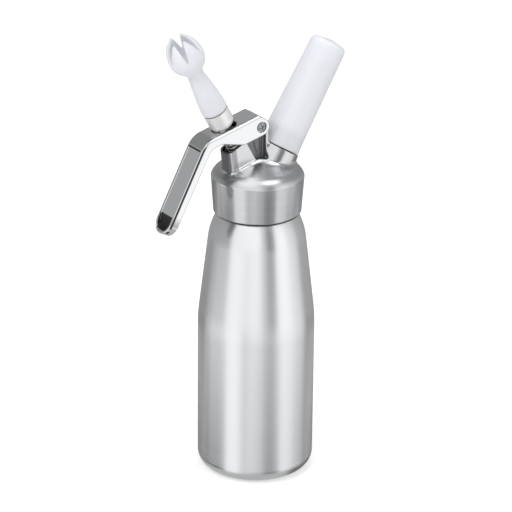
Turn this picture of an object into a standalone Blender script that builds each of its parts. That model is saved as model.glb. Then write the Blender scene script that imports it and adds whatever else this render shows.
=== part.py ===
"""Whipped cream dispenser: an aluminium bottle with a screwed head, a chromed lever over a sprung
valve stem with a fluted cream tip, and a capped gas charger on the other side of the head.

Lengths are metres, angles degrees. +Z is up and the bottle's base stands on z = 0. The lever and the
cream tip lean towards -X, the gas charger towards +X, and y = 0 is the plane of symmetry.
"""

import math

import bmesh
import bpy
from mathutils import Matrix, Vector

# Fits shared by many pieces
SEAT_GAP = 0.0003
RUNNING_GAP = 0.0004
OVERRUN = 0.004
MERGE = 0.00001
ROUND_STEPS = 48
SMALL_STEPS = 28
CUTTER_STEPS = 32

# Bottle
BOTTLE_RADIUS = 0.0410
BOTTLE_WALL = 0.0018
BASE_FILLET = 0.0105
BASE_GROOVE_RADIUS = 0.0265
BASE_GROOVE_HALF_WIDTH = 0.0022
BASE_GROOVE_DEPTH = 0.0008
TAPER_CORNER_HEIGHT = 0.1149
TAPER_ANGLE = 6.8
TAPER_BEND_RADIUS = 0.150
SHOULDER_START_HEIGHT = 0.1730
SHOULDER_RADIUS = 0.0460
SHOULDER_END_HEIGHT = 0.1918
NECK_RADIUS = 0.0269
NECK_FOOT_HEIGHT = 0.1965
NECK_TOP_HEIGHT = 0.2139

# Head: skirt and dome
SKIRT_UNDER_RIM = 0.0221
SKIRT_BOTTOM_RADIUS = 0.0297
SKIRT_CHAMFER_RADIUS = 0.0305
SKIRT_CHAMFER_HEIGHT = 0.0015
SKIRT_MOUTH_CHAMFER = 0.0011
SKIRT_MOUTH_DEPTH = 0.0032
DOME_EDGE_RADIUS = 0.0327
DOME_CORNER_RADIUS = 0.0108
DOME_CORNER_OVER_RIM = 0.0013
DOME_SLOPE = 20.0
DOME_CREASE_TURN = 17.0
UNDERSIDE_UNDER_RIM = 0.0009
UNDERSIDE_RADIUS = 0.0210

# Head gasket
GASKET_THICKNESS = 0.0026

# The valve's axis and the charger's axis both start on the bottle's axis, below its rim
AXES_UNDER_RIM = 0.0059
VALVE_TILT = 28.9
CHARGER_TILT = 31.0

# Head: turret round the valve, measured up the valve's axis
TURRET_RIM = 0.0410
TURRET_TILT = 8.0
TURRET_FOOT_OVER_RIM = 0.0061
TURRET_FOOT_OFFSET = 0.0152
TURRET_FOOT_RADIUS = 0.0107
TURRET_TOP_RADIUS = 0.0102
TURRET_LENGTH = 0.0320
SIDE_FLAT_HALF_WIDTH = 0.0071
SIDE_FLAT_START = -0.0320
SIDE_FLAT_SETBACK = 0.00005
SPRING_WELL_RADIUS = 0.0062
SPRING_WELL_FLOOR = 0.0215
WELL_MOUTH_RADIUS = 0.0084
WELL_MOUTH_DEPTH = 0.0030
WELL_MOUTH_HALF_WIDTH = 0.0058
STEM_BORE_RADIUS = 0.0044
SEAT_POCKET_RADIUS = 0.0076
SEAT_LEVEL = 0.0102

# Head: post that carries the lever's hinge
PIVOT_X = -0.0029
PIVOT_OVER_RIM = 0.0118
POST_EYE_RADIUS = 0.0062
POST_BACK_X = 0.0040
POST_BACK_RISE = 0.0015
POST_FRONT_X = -0.0113
POST_FRONT_DROP = 0.0089
POST_EDGE_ROUND = 0.0010
POCKET_DEPTH = 0.0036
POCKET_TOP_DROP = 0.0057
POCKET_FLOOR_DROP = 0.0231
POCKET_FRONT_TOP_X = -0.0157
POCKET_FRONT_FLOOR_X = -0.0061
POCKET_BACK_X = 0.0019
POCKET_ROUND = 0.0016

# Head: charger boss, measured up the charger's axis
BOSS_RADIUS = 0.0152
BOSS_FOOT = 0.0130
BOSS_FOOT_RADIUS = 0.0166
BOSS_TOP = 0.0326
BOSS_CHAMFER = 0.0006
SPIGOT_RADIUS = 0.0106
SPIGOT_TOP = 0.0440
SPIGOT_CHAMFER = 0.0007
CHARGER_SOCKET_RADIUS = 0.0052
CHARGER_SOCKET_FLOOR = 0.0340
PIN_SOCKET_FLOOR = 0.0247
GAS_PASSAGE_RADIUS = 0.0014

# Valve stem, measured up the valve's axis
STEM_RADIUS = 0.0040
STEM_PASSAGE_RADIUS = 0.0019
STEM_END = 0.0036
STEM_FLANGE_RADIUS = 0.0062
STEM_FLANGE_BOTTOM = 0.0050
STEM_FLANGE_TOP = 0.0067
STEM_ENTRY = 0.0067
STEM_PORT_LEVEL = 0.0138
STEM_PORT_RADIUS = 0.0015
GROOVE_LEVELS = (0.0172, 0.0196)
GROOVE_FLOOR_RADIUS = 0.0029
GROOVE_HALF_WIDTH = 0.00075
RING_WIRE_RADIUS = 0.00045
SEAL_RADIUS = 0.0064

# Gland that closes the spring well, spring, and collar under the lever
GLAND_HEIGHT = 0.0045
GLAND_CHAMFER = 0.0005
SPRING_WIRE_RADIUS = 0.00055
SPRING_COIL_RADIUS = 0.0051
SPRING_TURNS = 6
SPRING_POINTS_A_TURN = 10
SPRING_END_BEND = 0.0012
COLLAR_OVER_RIM = 0.0100
COLLAR_HEIGHT = 0.0030
COLLAR_RADIUS = 0.0071
COLLAR_CHAMFER = 0.0006

# Nozzle adapter and cream tip, measured up the valve's axis
ADAPTER_OVER_COLLAR = 0.0083
ADAPTER_CHAMFER_RADIUS = 0.0078
ADAPTER_CHAMFER_HEIGHT = 0.0022
ADAPTER_RADIUS = 0.0088
ADAPTER_LENGTH = 0.0129
ADAPTER_THREAD_RADIUS = 0.0054
ADAPTER_THREAD_LENGTH = 0.0075
ADAPTER_PASSAGE_RADIUS = 0.0026
TIP_SHOULDER = 0.0100
TIP_SHOULDER_RADIUS = 0.0086
TIP_FOOT_RADIUS = 0.0091
TIP_WAIST = 0.0325
TIP_WAIST_RADIUS = 0.0056
TIP_PASSAGE_RADIUS = 0.0034
TIP_SOCKET_DEPTH = 0.0085
BELL_CENTRE = 0.0456
BELL_RADIUS = 0.0124
BELL_WALL = 0.0021
BELL_TOP = 0.0614
BELL_MOUTH_RADIUS = 0.0072
PRONG_COUNT = 6
PRONG_TURN = 37.0
PRONG_TIP_WIDTH = 0.0013
CLEFT_FLOOR = 0.0478
CLEFT_FLOOR_RADIUS = 0.0006

# Lever, seen from the side; the handle's corner is where its two straight faces would meet
LEVER_HALF_WIDTH = 0.0092
LEVER_CHEEK = 0.0017
LEVER_PLATE = 0.0021
PLATE_SLOPE = 15.6
HANDLE_LEAN = 27.3
PLATE_END_FORWARD = 0.0023
PLATE_END_RISE = 0.0086
PLATE_REACH = 0.0425
HANDLE_LENGTH = 0.0687
LEVER_BEND_RADIUS = 0.0150
EAR_RADIUS = 0.0064
CHEEK_DEPTH = 0.0160
CHEEK_FRONT_REACH = 0.0156
CHEEK_NECK_SETBACK = 0.0115
CHEEK_NECK_DEPTH = 0.0070
HANDLE_DEPTH = 0.0073
HANDLE_TIP_DEPTH = 0.0068
LEVER_EDGE_ROUND = 0.0009
WINDOW_HALF_WIDTH = 0.0064
WINDOW_HALF_LENGTH = 0.0097
CAM_RADIUS = 0.0020
CAM_REACH = 0.0049
HANDLE_RIM = 0.0017
HANDLE_RECESS_DEPTH = 0.0007
HOLLOW_END_SETBACK = 0.0167
SCOOP_START_SETBACK = 0.0139
SCOOP_END_SETBACK = 0.0024
SCOOP_RADIUS = 0.0120

# Hinge screw and sleeve
SCREW_HEAD_RADIUS = 0.0035
SCREW_HEAD_HEIGHT = 0.0009
SCREW_SHANK_RADIUS = 0.0012
SCREW_LENGTH = 0.0105
SCREW_SLOT_HALF_WIDTH = 0.00045
SCREW_SLOT_HALF_LENGTH = 0.0020
SCREW_SLOT_DEPTH = 0.0005
SLEEVE_RADIUS = 0.0022
SLEEVE_SHORTFALL = 0.0010

# Charger, pin and holder, measured up the charger's axis
PIN_FLANGE_RADIUS = 0.0031
PIN_FLANGE_TOP = 0.0334
PIN_SHAFT_RADIUS = 0.0014
PIN_POINT_START = 0.0386
PIN_POINT = 0.0404
PIN_BORE_RADIUS = 0.0006
CHECK_GROOVE_LEVEL = 0.0280
CHECK_GROOVE_HALF_WIDTH = 0.0007
CHECK_GROOVE_RADIUS = 0.0019
CHECK_RING_INNER_RADIUS = 0.0022
CHECK_RING_OUTER_RADIUS = 0.0031
CHARGER_GASKET_THICKNESS = 0.0022
BULB_LENGTH = 0.0655
BULB_RADIUS = 0.0092
BULB_WALL = 0.0013
BULB_NECK_RADIUS = 0.0039
BULB_NECK_LENGTH = 0.0080
BULB_SHOULDER_LENGTH = 0.0090
BULB_MOUTH_RADIUS = 0.0018
INSERT_WALL = 0.0014
INSERT_HEIGHT = 0.0117
HOLDER_FOOT_RADIUS = 0.0146
HOLDER_TOP_RADIUS = 0.0129
HOLDER_LENGTH = 0.0786
HOLDER_TOP_ROUND = 0.0036
HOLDER_CROWN = 0.0006
FLUTE_COUNT = 24
FLUTE_DEPTH = 0.0006
FLUTE_MARGIN = 0.0032
FLUTE_WIDTH_SHARE = 0.62
FLUTE_RUN_OUT_SHARE = 0.5

# Colours, as linear red, green and blue
BRUSHED_ALUMINIUM = (0.66, 0.67, 0.68)
BRIGHT_CHROME = (0.72, 0.73, 0.74)
STAINLESS_STEEL = (0.58, 0.58, 0.58)
WHITE_PLASTIC = (0.80, 0.82, 0.86)
BLACK_RUBBER = (0.03, 0.03, 0.03)
PALE_SILICONE = (0.62, 0.64, 0.66)
BRASS_YELLOW = (0.62, 0.47, 0.20)


def clear_scene():
    for item in list(bpy.data.objects):
        bpy.data.objects.remove(item, do_unlink=True)


def new_collection(name):
    made = bpy.data.collections.new(name)
    bpy.context.scene.collection.children.link(made)
    return made


def new_material(name, colour, roughness, metallic):
    made = bpy.data.materials.new(name)
    made.use_nodes = True
    shader = made.node_tree.nodes["Principled BSDF"]
    shader.inputs["Base Color"].default_value = (*colour, 1.0)
    shader.inputs["Roughness"].default_value = roughness
    shader.inputs["Metallic"].default_value = metallic
    made.diffuse_color = (*colour, 1.0)
    return made


def new_frame(name, place, tilt=0.0):
    """An empty at a place in the plane y = 0, its Z axis leaning by tilt towards +X."""
    frame = bpy.data.objects.new(name, None)
    frame.location = place
    frame.rotation_euler = (0.0, math.radians(tilt), 0.0)
    PARTS.objects.link(frame)
    return frame


def place_part(item, parent, material):
    PARTS.objects.link(item)
    item.parent = parent
    item.data.materials.append(material)
    item.data.shade_smooth()
    return item


def place_cutter(item, parent):
    CUTTERS.objects.link(item)
    item.parent = parent
    item.hide_render = True
    item.display_type = "WIRE"
    return item


def change(item, other, operation):
    """Joins another object to this one, or cuts it away, or keeps what both share."""
    modifier = item.modifiers.new(other.name, "BOOLEAN")
    modifier.operation = operation
    modifier.object = other
    modifier.solver = "EXACT"


def arc(centre_r, centre_z, radius, start, end, count):
    """Points of an arc in the profile plane; 0 degrees points outwards and 90 upwards."""
    angles = [math.radians(start + (end - start) * i / count) for i in range(count + 1)]
    return [(centre_r + radius * math.cos(a), centre_z + radius * math.sin(a)) for a in angles]


def turned(name, profile, steps=SMALL_STEPS, ring=False):
    """A profile of (radius, height) turned round Z. Its outer side runs from top to bottom."""
    mesh = bpy.data.meshes.new(name)
    edges = [(i, i + 1) for i in range(len(profile) - 1)]
    if ring:
        edges.append((len(profile) - 1, 0))
    mesh.from_pydata([(r, 0.0, z) for r, z in profile], edges, [])
    item = bpy.data.objects.new(name, mesh)
    screw = item.modifiers.new("turn", "SCREW")
    screw.axis = "Z"
    screw.steps = steps
    screw.render_steps = steps
    screw.use_merge_vertices = True
    screw.merge_threshold = MERGE
    screw.use_normal_calculate = False
    return item


def cylinder(name, radius, bottom, top, steps=CUTTER_STEPS):
    return turned(name, [(0.0, top), (radius, top), (radius, bottom), (0.0, bottom)], steps)


def washer(name, inner, outer, bottom, top, steps=SMALL_STEPS):
    return turned(name, [(inner, top), (outer, top), (outer, bottom), (inner, bottom)], steps, ring=True)


def torus(name, centre_radius, level, wire_radius, steps=SMALL_STEPS, sides=8):
    """A round-section ring; its section starts at the top and runs down the outer side."""
    section = arc(centre_radius, level, wire_radius, 90.0, 90.0 - 360.0 * (sides - 1) / sides, sides - 1)
    return turned(name, section, steps, ring=True)


def prism(name, outline, half_width):
    """A flat outline of (x, z) points, made solid to half_width on both sides of the plane y = 0."""
    curve = bpy.data.curves.new(name, "CURVE")
    curve.dimensions = "2D"
    curve.fill_mode = "BOTH"
    curve.extrude = half_width
    spline = curve.splines.new("POLY")
    spline.points.add(len(outline) - 1)
    for point, (x, z) in zip(spline.points, outline):
        point.co = (x, z, 0.0, 1.0)
    spline.use_cyclic_u = True
    flat = bpy.data.objects.new(name + "_outline", curve)
    bpy.context.scene.collection.objects.link(flat)
    bpy.context.view_layer.update()
    graph = bpy.context.evaluated_depsgraph_get()
    mesh = bpy.data.meshes.new_from_object(flat.evaluated_get(graph))
    mesh.name = name
    bpy.data.objects.remove(flat, do_unlink=True)
    bpy.data.curves.remove(curve)
    shape = bmesh.new()
    shape.from_mesh(mesh)
    bmesh.ops.remove_doubles(shape, verts=shape.verts, dist=MERGE)
    bmesh.ops.rotate(shape, verts=shape.verts, matrix=Matrix.Rotation(math.radians(90.0), 3, "X"))
    bmesh.ops.dissolve_limit(
        shape, angle_limit=math.radians(0.5), verts=shape.verts, edges=shape.edges
    )
    bmesh.ops.recalc_face_normals(shape, faces=shape.faces)
    shape.to_mesh(mesh)
    shape.free()
    return bpy.data.objects.new(name, mesh)


def rounded(outline, radii, count=4):
    """The outline with each corner replaced by an arc of its own radius, or kept where it is zero."""
    made = []
    for i, corner in enumerate(outline):
        radius = radii[i]
        if radius == 0.0:
            made.append(corner)
            continue
        here = Vector(corner)
        back = (Vector(outline[i - 1]) - here).normalized()
        ahead = (Vector(outline[(i + 1) % len(outline)]) - here).normalized()
        half = back.angle(ahead) / 2.0
        centre = here + (back + ahead).normalized() * (radius / math.sin(half))
        start = here + back * (radius / math.tan(half)) - centre
        end = here + ahead * (radius / math.tan(half)) - centre
        sweep = start.angle(end)
        for k in range(count + 1):
            share = k / count
            left = math.sin((1.0 - share) * sweep)
            right = math.sin(share * sweep)
            made.append(tuple(centre + (start * left + end * right) / math.sin(sweep)))
    return made


def soften(item, width, segments=2, angle=40.0):
    bevel = item.modifiers.new("edges", "BEVEL")
    bevel.width = width
    bevel.segments = segments
    bevel.limit_method = "ANGLE"
    bevel.angle_limit = math.radians(angle)
    bevel.use_clamp_overlap = True


def cross_hole(name, radius, half_length, steps=CUTTER_STEPS):
    """A cutter for a hole along Y."""
    hole = cylinder(name, radius, -half_length, half_length, steps)
    hole.rotation_euler = (math.radians(90.0), 0.0, 0.0)
    return hole


# Lengths that follow from the ones above
SKIRT_BOTTOM_HEIGHT = NECK_TOP_HEIGHT - SKIRT_UNDER_RIM
DOME_CORNER_HEIGHT = NECK_TOP_HEIGHT + DOME_CORNER_OVER_RIM
UNDERSIDE_HEIGHT = NECK_TOP_HEIGHT - UNDERSIDE_UNDER_RIM
AXES_HEIGHT = NECK_TOP_HEIGHT - AXES_UNDER_RIM
TURRET_FOOT_HEIGHT = NECK_TOP_HEIGHT + TURRET_FOOT_OVER_RIM
SKIRT_BORE_RADIUS = NECK_RADIUS + RUNNING_GAP
GASKET_BOTTOM = NECK_TOP_HEIGHT + SEAT_GAP
LEDGE_HEIGHT = GASKET_BOTTOM + GASKET_THICKNESS + SEAT_GAP
PIVOT_Z = AXES_HEIGHT + TURRET_RIM * math.cos(math.radians(VALVE_TILT)) + PIVOT_OVER_RIM
PIVOT = Vector((PIVOT_X, 0.0, PIVOT_Z))
PLATE_ALONG = Vector((-math.cos(math.radians(PLATE_SLOPE)), -math.sin(math.radians(PLATE_SLOPE))))
PLATE_IN = Vector((-PLATE_ALONG.y, PLATE_ALONG.x))
HANDLE_ALONG = Vector((-math.sin(math.radians(HANDLE_LEAN)), -math.cos(math.radians(HANDLE_LEAN))))
HANDLE_IN = Vector((-HANDLE_ALONG.y, HANDLE_ALONG.x))
PLATE_END = Vector((-PLATE_END_FORWARD, PLATE_END_RISE))
LEVER_CORNER = PLATE_END + PLATE_ALONG * (PLATE_REACH / -PLATE_ALONG.x)
VALVE_UP = Vector((-math.sin(math.radians(VALVE_TILT)), math.cos(math.radians(VALVE_TILT))))
AXES_START = Vector((-PIVOT_X, AXES_HEIGHT - PIVOT_Z))
COLLAR_TOP = TURRET_RIM + COLLAR_OVER_RIM
ADAPTER_BOTTOM = COLLAR_TOP + ADAPTER_OVER_COLLAR
ADAPTER_TOP = ADAPTER_BOTTOM + ADAPTER_LENGTH
STEM_TOP = ADAPTER_BOTTOM + STEM_ENTRY
SPRING_BOTTOM = SPRING_WELL_FLOOR + SEAT_GAP + GLAND_HEIGHT + SEAT_GAP
SPRING_TOP = COLLAR_TOP - COLLAR_HEIGHT - SEAT_GAP
HOLDER_FOOT = BOSS_TOP + SEAT_GAP
HOLDER_TOP = HOLDER_FOOT + HOLDER_LENGTH
BULB_FOOT = CHARGER_SOCKET_FLOOR + SEAT_GAP + CHARGER_GASKET_THICKNESS + SEAT_GAP
BULB_TOP = BULB_FOOT + BULB_LENGTH
INSERT_INNER_RADIUS = SPIGOT_RADIUS + RUNNING_GAP
INSERT_OUTER_RADIUS = INSERT_INNER_RADIUS + INSERT_WALL
SCREW_HEAD_BOTTOM = LEVER_HALF_WIDTH - SCREW_HEAD_HEIGHT


def bottle_profile():
    """The outer line from the neck's rim down the shoulder, the taper and the wall to the base."""
    slope = math.tan(math.radians(TAPER_ANGLE))
    start_radius = BOTTLE_RADIUS - (SHOULDER_START_HEIGHT - TAPER_CORNER_HEIGHT) * slope
    centre_r = start_radius - SHOULDER_RADIUS * math.cos(math.radians(TAPER_ANGLE))
    centre_z = SHOULDER_START_HEIGHT - SHOULDER_RADIUS * math.sin(math.radians(TAPER_ANGLE))
    turn_in = math.degrees(math.asin((SHOULDER_END_HEIGHT - centre_z) / SHOULDER_RADIUS))
    shoulder = arc(centre_r, centre_z, SHOULDER_RADIUS, turn_in, TAPER_ANGLE, 8)
    bend_reach = TAPER_BEND_RADIUS * math.tan(math.radians(TAPER_ANGLE / 2.0))
    bend = arc(
        BOTTLE_RADIUS - TAPER_BEND_RADIUS,
        TAPER_CORNER_HEIGHT - bend_reach,
        TAPER_BEND_RADIUS,
        TAPER_ANGLE,
        0.0,
        4,
    )
    foot = arc(BOTTLE_RADIUS - BASE_FILLET, BASE_FILLET, BASE_FILLET, 0.0, -90.0, 7)
    groove = [
        (BASE_GROOVE_RADIUS + BASE_GROOVE_HALF_WIDTH, 0.0),
        (BASE_GROOVE_RADIUS, BASE_GROOVE_DEPTH),
        (BASE_GROOVE_RADIUS - BASE_GROOVE_HALF_WIDTH, 0.0),
    ]
    neck = [(NECK_RADIUS, NECK_TOP_HEIGHT), (NECK_RADIUS, NECK_FOOT_HEIGHT)]
    return [*neck, *shoulder, *bend, *foot, *groove, (0.0, 0.0)]


def make_bottle():
    bottle = turned("bottle", bottle_profile(), ROUND_STEPS)
    wall = bottle.modifiers.new("wall", "SOLIDIFY")
    wall.thickness = BOTTLE_WALL
    wall.offset = -1.0
    wall.use_even_offset = True
    return place_part(bottle, None, ALUMINIUM)


def make_head_gasket():
    gasket = washer(
        "head_gasket",
        UNDERSIDE_RADIUS + SEAT_GAP,
        NECK_RADIUS,
        GASKET_BOTTOM,
        GASKET_BOTTOM + GASKET_THICKNESS,
        ROUND_STEPS,
    )
    return place_part(gasket, None, SILICONE)


def head_profile():
    """Dome, corner and skirt outside, then the bore, the gasket's seat and the flat underside."""
    slope = math.radians(DOME_SLOPE)
    centre_r = DOME_EDGE_RADIUS - DOME_CORNER_RADIUS
    corner = arc(centre_r, DOME_CORNER_HEIGHT, DOME_CORNER_RADIUS, 90.0 - DOME_SLOPE, DOME_CREASE_TURN, 5)
    crown_height = corner[0][1] + corner[0][0] * math.tan(slope)
    return [
        (0.0, crown_height),
        *corner,
        (SKIRT_CHAMFER_RADIUS, SKIRT_BOTTOM_HEIGHT + SKIRT_CHAMFER_HEIGHT),
        (SKIRT_BOTTOM_RADIUS, SKIRT_BOTTOM_HEIGHT),
        (SKIRT_BORE_RADIUS + SKIRT_MOUTH_CHAMFER, SKIRT_BOTTOM_HEIGHT),
        (SKIRT_BORE_RADIUS, SKIRT_BOTTOM_HEIGHT + SKIRT_MOUTH_DEPTH),
        (SKIRT_BORE_RADIUS, LEDGE_HEIGHT),
        (UNDERSIDE_RADIUS, LEDGE_HEIGHT),
        (UNDERSIDE_RADIUS, UNDERSIDE_HEIGHT),
        (0.0, UNDERSIDE_HEIGHT),
    ]


def make_turret():
    """The round boss over the valve: nearly upright outside, its rim square to the valve's axis."""
    foot = new_frame("turret_foot", (-TURRET_FOOT_OFFSET, 0.0, TURRET_FOOT_HEIGHT), -TURRET_TILT)
    turret = turned(
        "turret_blank",
        [
            (0.0, TURRET_LENGTH),
            (TURRET_TOP_RADIUS, TURRET_LENGTH),
            (TURRET_FOOT_RADIUS, 0.0),
            (0.0, 0.0),
        ],
        ROUND_STEPS,
    )
    place_cutter(turret, foot)
    above = cylinder("above_rim", TURRET_LENGTH, TURRET_RIM, TURRET_RIM + TURRET_LENGTH)
    change(turret, place_cutter(above, VALVE_AXIS), "DIFFERENCE")
    reach = TURRET_FOOT_RADIUS + OVERRUN
    middle = (reach + SIDE_FLAT_HALF_WIDTH - SIDE_FLAT_SETBACK) / 2.0
    for side, name in ((-1.0, "near_flat"), (1.0, "far_flat")):
        flat = prism(
            name,
            [
                (SIDE_FLAT_START, TURRET_FOOT_HEIGHT - OVERRUN),
                (PIVOT_X, TURRET_FOOT_HEIGHT - OVERRUN),
                (PIVOT_X, PIVOT_Z),
                (SIDE_FLAT_START, PIVOT_Z),
            ],
            reach - middle,
        )
        flat.location.y = side * middle
        change(turret, place_cutter(flat, None), "DIFFERENCE")
    return turret


def make_post():
    """The web beside the turret and the post with the hinge's eye, as one upright plate."""
    foot = UNDERSIDE_HEIGHT + OVERRUN
    eye = arc(PIVOT_X, PIVOT_Z, POST_EYE_RADIUS, 60.0, 180.0, 6)
    outline = [(POST_BACK_X, foot), (POST_BACK_X, PIVOT_Z + POST_BACK_RISE), *eye]
    outline += [(POST_FRONT_X, PIVOT_Z - POST_FRONT_DROP), (POST_FRONT_X, foot)]
    post = place_cutter(prism("post_blank", outline, SIDE_FLAT_HALF_WIDTH), None)
    soften(post, POST_EDGE_ROUND, 2, 50.0)
    return post


def make_pocket(side, name):
    """The shallow cored pocket in each side of the post; its front edge follows the valve's bore."""
    top = PIVOT_Z - POCKET_TOP_DROP
    floor = PIVOT_Z - POCKET_FLOOR_DROP
    outline = rounded(
        [
            (POCKET_BACK_X, top),
            (POCKET_FRONT_TOP_X, top),
            (POCKET_FRONT_FLOOR_X, floor),
            (POCKET_BACK_X, floor),
        ],
        [POCKET_ROUND] * 4,
        3,
    )
    reach = (POCKET_DEPTH + OVERRUN) / 2.0
    pocket = place_cutter(prism(name, outline, reach), None)
    pocket.location.y = side * (SIDE_FLAT_HALF_WIDTH - POCKET_DEPTH + reach)
    return pocket


def make_boss():
    """The charger's boss with the spigot that the holder screws on, cut level above the gasket."""
    boss = turned(
        "boss_blank",
        [
            (0.0, SPIGOT_TOP),
            (SPIGOT_RADIUS - SPIGOT_CHAMFER, SPIGOT_TOP),
            (SPIGOT_RADIUS, SPIGOT_TOP - SPIGOT_CHAMFER),
            (SPIGOT_RADIUS, BOSS_TOP),
            (BOSS_RADIUS - BOSS_CHAMFER, BOSS_TOP),
            (BOSS_RADIUS, BOSS_TOP - BOSS_CHAMFER),
            (BOSS_FOOT_RADIUS, BOSS_FOOT),
            (0.0, BOSS_FOOT),
        ],
        ROUND_STEPS,
    )
    place_cutter(boss, CHARGER_AXIS)
    under = cylinder("under_boss", BOTTLE_RADIUS, UNDERSIDE_HEIGHT - OVERRUN, LEDGE_HEIGHT + SEAT_GAP)
    change(boss, place_cutter(under, None), "DIFFERENCE")
    return boss


def valve_bores():
    """Spring well, stem bore and seat pocket as one stepped cutter on the valve's axis."""
    return turned(
        "valve_bores",
        [
            (0.0, TURRET_RIM + OVERRUN),
            (SPRING_WELL_RADIUS, TURRET_RIM + OVERRUN),
            (SPRING_WELL_RADIUS, SPRING_WELL_FLOOR),
            (STEM_BORE_RADIUS, SPRING_WELL_FLOOR),
            (STEM_BORE_RADIUS, SEAT_LEVEL),
            (SEAT_POCKET_RADIUS, SEAT_LEVEL),
            (SEAT_POCKET_RADIUS, -OVERRUN),
            (0.0, -OVERRUN),
        ],
    )


def make_well_mouth():
    """The wider mouth of the spring's well, kept inside the turret's side flats."""
    mouth = cylinder("well_mouth", WELL_MOUTH_RADIUS, TURRET_RIM - WELL_MOUTH_DEPTH, TURRET_RIM + OVERRUN)
    place_cutter(mouth, VALVE_AXIS)
    reach = WELL_MOUTH_RADIUS + OVERRUN
    middle = TURRET_RIM - WELL_MOUTH_DEPTH / 2.0
    band = prism(
        "well_mouth_band",
        [
            (-reach, middle - reach),
            (reach, middle - reach),
            (reach, middle + reach),
            (-reach, middle + reach),
        ],
        WELL_MOUTH_HALF_WIDTH,
    )
    change(mouth, place_cutter(band, VALVE_AXIS), "INTERSECT")
    return mouth


def charger_bores():
    """Socket for the charger's neck, seat for the pin and the gas passage, as one stepped cutter."""
    return turned(
        "charger_bores",
        [
            (0.0, SPIGOT_TOP + OVERRUN),
            (CHARGER_SOCKET_RADIUS, SPIGOT_TOP + OVERRUN),
            (CHARGER_SOCKET_RADIUS, CHARGER_SOCKET_FLOOR),
            (PIN_FLANGE_RADIUS + SEAT_GAP, CHARGER_SOCKET_FLOOR),
            (PIN_FLANGE_RADIUS + SEAT_GAP, PIN_SOCKET_FLOOR),
            (GAS_PASSAGE_RADIUS, PIN_SOCKET_FLOOR),
            (GAS_PASSAGE_RADIUS, 0.0),
            (0.0, 0.0),
        ],
        20,
    )


def make_head():
    head = turned("head", head_profile(), ROUND_STEPS)
    change(head, make_turret(), "UNION")
    change(head, make_boss(), "UNION")
    change(head, make_post(), "UNION")
    change(head, make_pocket(-1.0, "near_pocket"), "DIFFERENCE")
    change(head, make_pocket(1.0, "far_pocket"), "DIFFERENCE")
    change(head, place_cutter(valve_bores(), VALVE_AXIS), "DIFFERENCE")
    change(head, make_well_mouth(), "DIFFERENCE")
    change(head, place_cutter(charger_bores(), CHARGER_AXIS), "DIFFERENCE")
    eye = cross_hole("eye_hole", SLEEVE_RADIUS + SEAT_GAP, LEVER_HALF_WIDTH)
    change(head, place_cutter(eye, LEVER_PIVOT), "DIFFERENCE")
    return place_part(head, None, ALUMINIUM)


def make_valve_stem():
    """The hollow stem: flange below, ring grooves in the bore, a blind passage with its cross port."""
    outline = [
        (0.0, STEM_TOP),
        (STEM_RADIUS - COLLAR_CHAMFER, STEM_TOP),
        (STEM_RADIUS, STEM_TOP - COLLAR_CHAMFER),
    ]
    for level in sorted(GROOVE_LEVELS, reverse=True):
        outline += [
            (STEM_RADIUS, level + GROOVE_HALF_WIDTH),
            (GROOVE_FLOOR_RADIUS, level + GROOVE_HALF_WIDTH),
            (GROOVE_FLOOR_RADIUS, level - GROOVE_HALF_WIDTH),
            (STEM_RADIUS, level - GROOVE_HALF_WIDTH),
        ]
    outline += [
        (STEM_RADIUS, STEM_FLANGE_TOP),
        (STEM_FLANGE_RADIUS, STEM_FLANGE_TOP),
        (STEM_FLANGE_RADIUS, STEM_FLANGE_BOTTOM),
        (STEM_RADIUS, STEM_END),
        (0.0, STEM_END),
    ]
    stem = turned("valve_stem", outline)
    floor = STEM_PORT_LEVEL - STEM_PORT_RADIUS
    passage = cylinder("stem_passage", STEM_PASSAGE_RADIUS, floor, STEM_TOP + OVERRUN)
    change(stem, place_cutter(passage, VALVE_AXIS), "DIFFERENCE")
    port = cross_hole("stem_port", STEM_PORT_RADIUS, STEM_RADIUS + OVERRUN, 16)
    port.location.z = STEM_PORT_LEVEL
    change(stem, place_cutter(port, VALVE_AXIS), "DIFFERENCE")
    return place_part(stem, VALVE_AXIS, STEEL)


def make_valve_seals():
    seal = washer("stem_seal", STEM_RADIUS + SEAT_GAP, SEAL_RADIUS, STEM_FLANGE_TOP + SEAT_GAP,
                  SEAT_LEVEL - SEAT_GAP)
    place_part(seal, VALVE_AXIS, RUBBER)
    middle = (GROOVE_FLOOR_RADIUS + STEM_BORE_RADIUS) / 2.0
    for level, name in zip(GROOVE_LEVELS, ("lower_stem_ring", "upper_stem_ring")):
        place_part(torus(name, middle, level, RING_WIRE_RADIUS), VALVE_AXIS, RUBBER)


def make_valve_gland():
    bottom = SPRING_WELL_FLOOR + SEAT_GAP
    top = bottom + GLAND_HEIGHT
    outer = SPRING_WELL_RADIUS - SEAT_GAP
    gland = turned(
        "valve_gland",
        [
            (STEM_RADIUS + RUNNING_GAP, top),
            (outer - GLAND_CHAMFER, top),
            (outer, top - GLAND_CHAMFER),
            (outer, bottom),
            (STEM_RADIUS + RUNNING_GAP, bottom),
        ],
        ring=True,
    )
    return place_part(gland, VALVE_AXIS, BRASS)


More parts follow.
